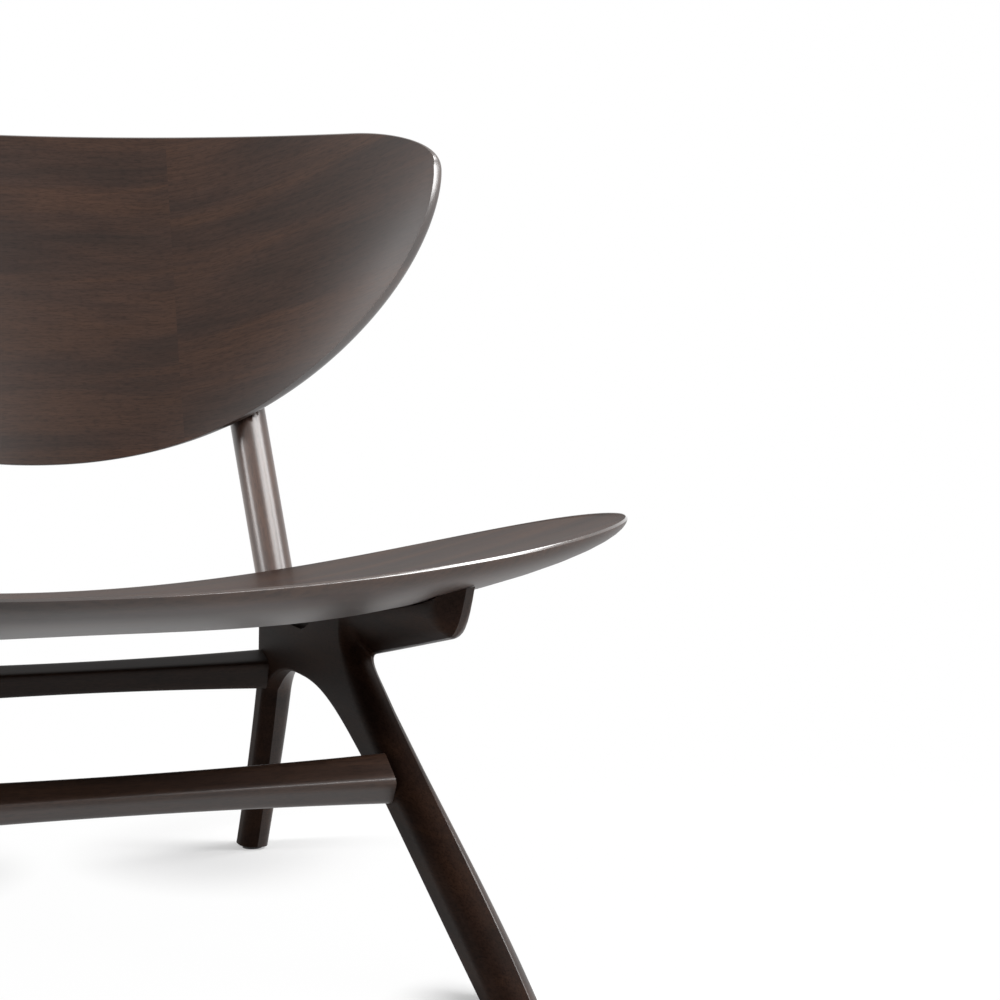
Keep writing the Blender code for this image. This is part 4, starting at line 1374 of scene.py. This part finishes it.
class CHAIR_OT_posts(bpy.types.Operator):
    """Turns the two posts and flattens them against the back"""

    bl_idname = "chair.posts"
    bl_label = "Posts"

    def execute(self, context):
        post = context.scene.chair_post
        back = context.scene.chair_back
        # Shade 2.0 lightens the posts' copy of the timber: painted light for strongly lit posts.
        timber = varnished_timber("post_timber_painted_light", 0.6, 0.5, 0.34, 0.28, shade=2.0)
        half = back_half(back)
        clearance = 0.0003
        rim_share = 0.4
        steps = 80
        sides = 64
        foot = Vector((post_foot_across(), post.forward, post.shoulder_height))
        rise = post.top_height - post.shoulder_height
        head = foot + Vector((-post.toe_in * rise, -back.lean * rise, rise))
        axis = (head - foot).normalized()
        left = axis.cross(Vector((0.0, 1.0, 0.0))).normalized()
        ahead = left.cross(axis)
        reaches = {}

        def flattened(across, forward, height):
            """How far forward a point of the post lies, set back where the back would be in its way."""
            lift = height - back.hub_height
            bearing = round(math.atan2(lift, across), 3)
            if bearing not in reaches:
                reaches[bearing] = back_reach(back, bearing)
            inside = reaches[bearing] - math.hypot(across, lift)
            if inside <= 0.0:
                return forward
            bend = math.acos(max(0.0, 1.0 - inside / back.rear_round))
            depth = 2.0 * half * blend(rim_share, 1.0, math.sin(bend))
            return min(forward, back_middle(back, across, height) + half - depth - clearance)

        def post_point(side, share, angle):
            run = (head - foot).length * share
            out = 0.5 * post.diameter * (left * math.cos(angle) + ahead * math.sin(angle))
            across, forward, height = foot + axis * run + out
            forward = flattened(across, forward, height)
            return place(side * across, forward, height), (run, out.x, out.y)

        for word, side in SIDES:
            rings = bar_rings(steps, sides, lambda share, angle: post_point(side, share, angle))
            made = bar_blank(rings)
            bmesh.ops.recalc_face_normals(made, faces=made.faces)
            round_over(made, upper_end(made), post.end_arris)
            add_piece(f"{word}_post_turned", made, timber, [f"{word}_back_post"])
        return {"FINISHED"}


class CHAIR_OT_stretchers(bpy.types.Operator):
    """Shapes the two stretchers, slimmer in the middle"""

    bl_idname = "chair.stretchers"
    bl_label = "Stretchers"

    def execute(self, context):
        bars = context.scene.chair_stretchers
        sizes = context.scene.chair_frame
        steps = 64
        sides = 64
        # Gloss, coat, roughness and shade of each stretcher. The rear one's shade of 0.5 is painted shade,
        # for a stretcher that lies under the seat.
        gloss_and_painted_shade = {"front": (0.35, 0.2, 0.38, 1.0), "rear": (0.14, 0.0, 0.45, 0.5)}
        for word, (gloss, coat, roughness, shade) in gloss_and_painted_shade.items():
            forward, height, end, middle, roll = (
                getattr(bars, f"{word}_{key}") for key in ("forward", "height", "end", "middle", "turn")
            )

            def bar_point(share, angle):
                away = 2.0 * share - 1.0
                powers = [abs(part) ** bars.power for part in (math.cos(angle), math.sin(angle))]
                reach = 0.5 * blend(middle, end, away * away) / sum(powers) ** (1.0 / bars.power)
                ahead = forward + reach * math.cos(angle + roll)
                up = height + reach * math.sin(angle + roll)
                across = away * inner_face(sizes, ahead, up)
                grain = (across + 1.0, reach * math.cos(angle), reach * math.sin(angle))
                return place(across, ahead, up), grain

            node = f"{word}_stretcher"
            timber = varnished_timber(f"{node}_timber", gloss, coat, roughness, shade=shade)
            blank = bar_blank(bar_rings(steps, sides, bar_point, 0.5))
            add_piece(f"{node}_shaped", blank, timber, [node])
        return {"FINISHED"}


class CHAIR_OT_hardware(bpy.types.Operator):
    """Gives the joinery, screws, plugs and glides their finishes"""

    bl_idname = "chair.hardware"
    bl_label = "Hardware"

    def execute(self, context):
        finish = context.scene.chair_finish
        wood, metal, grit = (60.0, 60.0, 400.0), (900.0, 900.0, 120.0), (1500.0, 1500.0, 1500.0)
        stops = (0.3, 0.7)
        finishes = {
            "plain_timber": speckled("joint_timber", finish.bare, (wood, 3.0, 0.6), (0.35, 0.65), 0.6, 0.65),
            "screw_steel": speckled("screw_steel", finish.steel, (metal, 3.0, 0.6), stops, 0.7, 0.35, 1.0),
            "foot_plastic": speckled("glide_plastic", finish.glide, (grit, 2.0, 0.5), stops, 0.6, 0.55),
            "varnished_timber": varnished_timber("plug_timber"),
        }
        slots = {row["node"]: row["material_slot"] for row in frame["record"]["subparts"]}
        for name, node in frame["nodes"].items():
            if node.hide_render:
                continue
            node.data.materials.clear()
            node.data.materials.append(finishes[slots[name]])
        return {"FINISHED"}


class CHAIR_OT_studio(bpy.types.Operator):
    """Sets the floor, the light and the camera"""

    bl_idname = "chair.studio"
    bl_label = "Studio"

    def execute(self, context):
        studio = context.scene.chair_studio
        self.add_floor(context, studio)
        self.add_room(context, studio)
        for name, spot, aim, size, power in LIGHTS:
            self.add_light(context, name, Vector(spot), Vector(aim), size, power)
        lens = bpy.data.cameras.new("photo_camera")
        lens.lens = studio.lens
        lens.sensor_width = SENSOR_WIDTH
        camera = bpy.data.objects.new("photo_camera", lens)
        camera.location = place(studio.camera_across, studio.camera_forward, studio.camera_height)
        camera.rotation_euler = Euler((0.5 * math.pi - studio.camera_pitch, 0.0, -studio.camera_heading))
        context.scene.collection.objects.link(camera)
        context.scene.camera = camera
        context.scene.view_settings.view_transform = "Standard"
        return {"FINISHED"}

    def add_floor(self, context, studio):
        made = bmesh.new()
        bmesh.ops.create_grid(made, x_segments=2, y_segments=2, size=12.0)
        mesh = bpy.data.meshes.new("floor")
        made.to_mesh(mesh)
        made.free()
        material, tree, shader = new_material("floor_paper")
        shader.inputs["Base Color"].default_value = (*studio.floor, 1.0)
        shader.inputs["Roughness"].default_value = 0.9
        shader.inputs["Specular IOR Level"].default_value = 0.0
        glow = add_node(tree, "ShaderNodeEmission")
        where = add_node(tree, "ShaderNodeTexCoord")
        away = add_node(tree, "ShaderNodeVectorMath", operation="LENGTH")
        link(tree, where, "Object", away, 0)
        span = (studio.shadow_near, studio.shadow_far)
        white = self.fade(tree, away.outputs["Value"], span, (studio.floor_white, 1.0))
        for foot, far in self.feet(context, studio):
            near = add_node(tree, "ShaderNodeVectorMath", operation="DISTANCE")
            link(tree, where, "Object", near, 0)
            near.inputs[1].default_value = foot
            spot = self.fade(tree, near.outputs["Value"], (studio.foot_near, far), (studio.foot_white, 1.0))
            white = combine(tree, "MINIMUM", white, spot)
        share = combine(tree, "MULTIPLY", white, seen_directly(tree))
        mix_shaders(tree, share, shader.outputs["BSDF"], glow.outputs["Emission"], "Material Output")
        mesh.materials.append(material)
        floor = bpy.data.objects.new("floor", mesh)
        context.scene.collection.objects.link(floor)

    def fade(self, tree, value, span, ends):
        """Eases between two numbers as a value crosses a span."""
        node = add_node(tree, "ShaderNodeMapRange", interpolation_type="SMOOTHSTEP")
        for key, amount in zip(("From Min", "From Max", "To Min", "To Max"), (*span, *ends)):
            node.inputs[key].default_value = amount
        tree.links.new(value, node.inputs["Value"])
        return node.outputs["Result"]

    def feet(self, context, studio):
        """Where the middle of each foot stands, and how far its shadow is seen."""
        sizes = context.scene.chair_frame
        found = []
        for rear, front, far in (
            (sizes.rear_back, sizes.rear_front, studio.rear_foot_far),
            (sizes.front_back, sizes.front_front, studio.front_foot_far),
        ):
            forward = 0.5 * (rear + front)
            across = inner_face(sizes, forward, 0.0) + 0.5 * frame_thickness(sizes, forward, 0.0)
            found += [(place(side * across, forward, 0.0), far) for _, side in SIDES]
        return found

    def add_room(self, context, studio):
        world = bpy.data.worlds.new("studio_room")
        world.use_nodes = True
        tree = world.node_tree
        plain = tree.nodes["Background"]
        white = add_node(tree, "ShaderNodeBackground")
        for node, strength in ((plain, studio.room), (white, 1.0)):
            node.inputs["Color"].default_value = (*WHITE, 1.0)
            node.inputs["Strength"].default_value = strength
        lights = plain.outputs["Background"], white.outputs["Background"]
        mix_shaders(tree, seen_directly(tree), *lights, "World Output")
        context.scene.world = world

    def add_light(self, context, name, spot, aim, size, power):
        lamp = bpy.data.lights.new(name, "AREA")
        lamp.shape = "RECTANGLE"
        lamp.size, lamp.size_y = size
        lamp.energy = power
        light = bpy.data.objects.new(name, lamp)
        light.location = spot
        light.rotation_euler = (aim - spot).to_track_quat("-Z", "Y").to_euler()
        context.scene.collection.objects.link(light)


class CHAIR_PT_pieces(bpy.types.Panel):
    """Lists the operators that build the chair"""

    bl_idname = "CHAIR_PT_pieces"
    bl_label = "Lounge Chair"
    bl_space_type = "VIEW_3D"
    bl_region_type = "UI"
    bl_category = "Chair"

    def draw(self, context):
        for operator in OPERATORS:
            self.layout.operator(operator.bl_idname)


OPERATORS = (
    CHAIR_OT_seat,
    CHAIR_OT_back,
    CHAIR_OT_side_frames,
    CHAIR_OT_posts,
    CHAIR_OT_stretchers,
    CHAIR_OT_hardware,
    CHAIR_OT_studio,
)
SETTINGS = {
    "chair_seat": ChairSeatSizes,
    "chair_back": ChairBackSizes,
    "chair_frame": ChairFrameSizes,
    "chair_post": ChairPostSizes,
    "chair_stretchers": ChairStretcherSizes,
    "chair_finish": ChairFinish,
    "chair_studio": ChairStudio,
}


def register():
    for name, group in SETTINGS.items():
        bpy.utils.register_class(group)
        setattr(bpy.types.Scene, name, PointerProperty(type=group))
    for operator in OPERATORS:
        bpy.utils.register_class(operator)
    bpy.utils.register_class(CHAIR_PT_pieces)


def unregister():
    bpy.utils.unregister_class(CHAIR_PT_pieces)
    for operator in reversed(OPERATORS):
        bpy.utils.unregister_class(operator)
    for name, group in reversed(SETTINGS.items()):
        delattr(bpy.types.Scene, name)
        bpy.utils.unregister_class(group)


def main():
    register()
    bpy.ops.chair.seat()
    bpy.ops.chair.back()
    bpy.ops.chair.side_frames()
    bpy.ops.chair.posts()
    bpy.ops.chair.stretchers()
    bpy.ops.chair.hardware()
    bpy.ops.chair.studio()


if __name__ == "__main__":
    main()
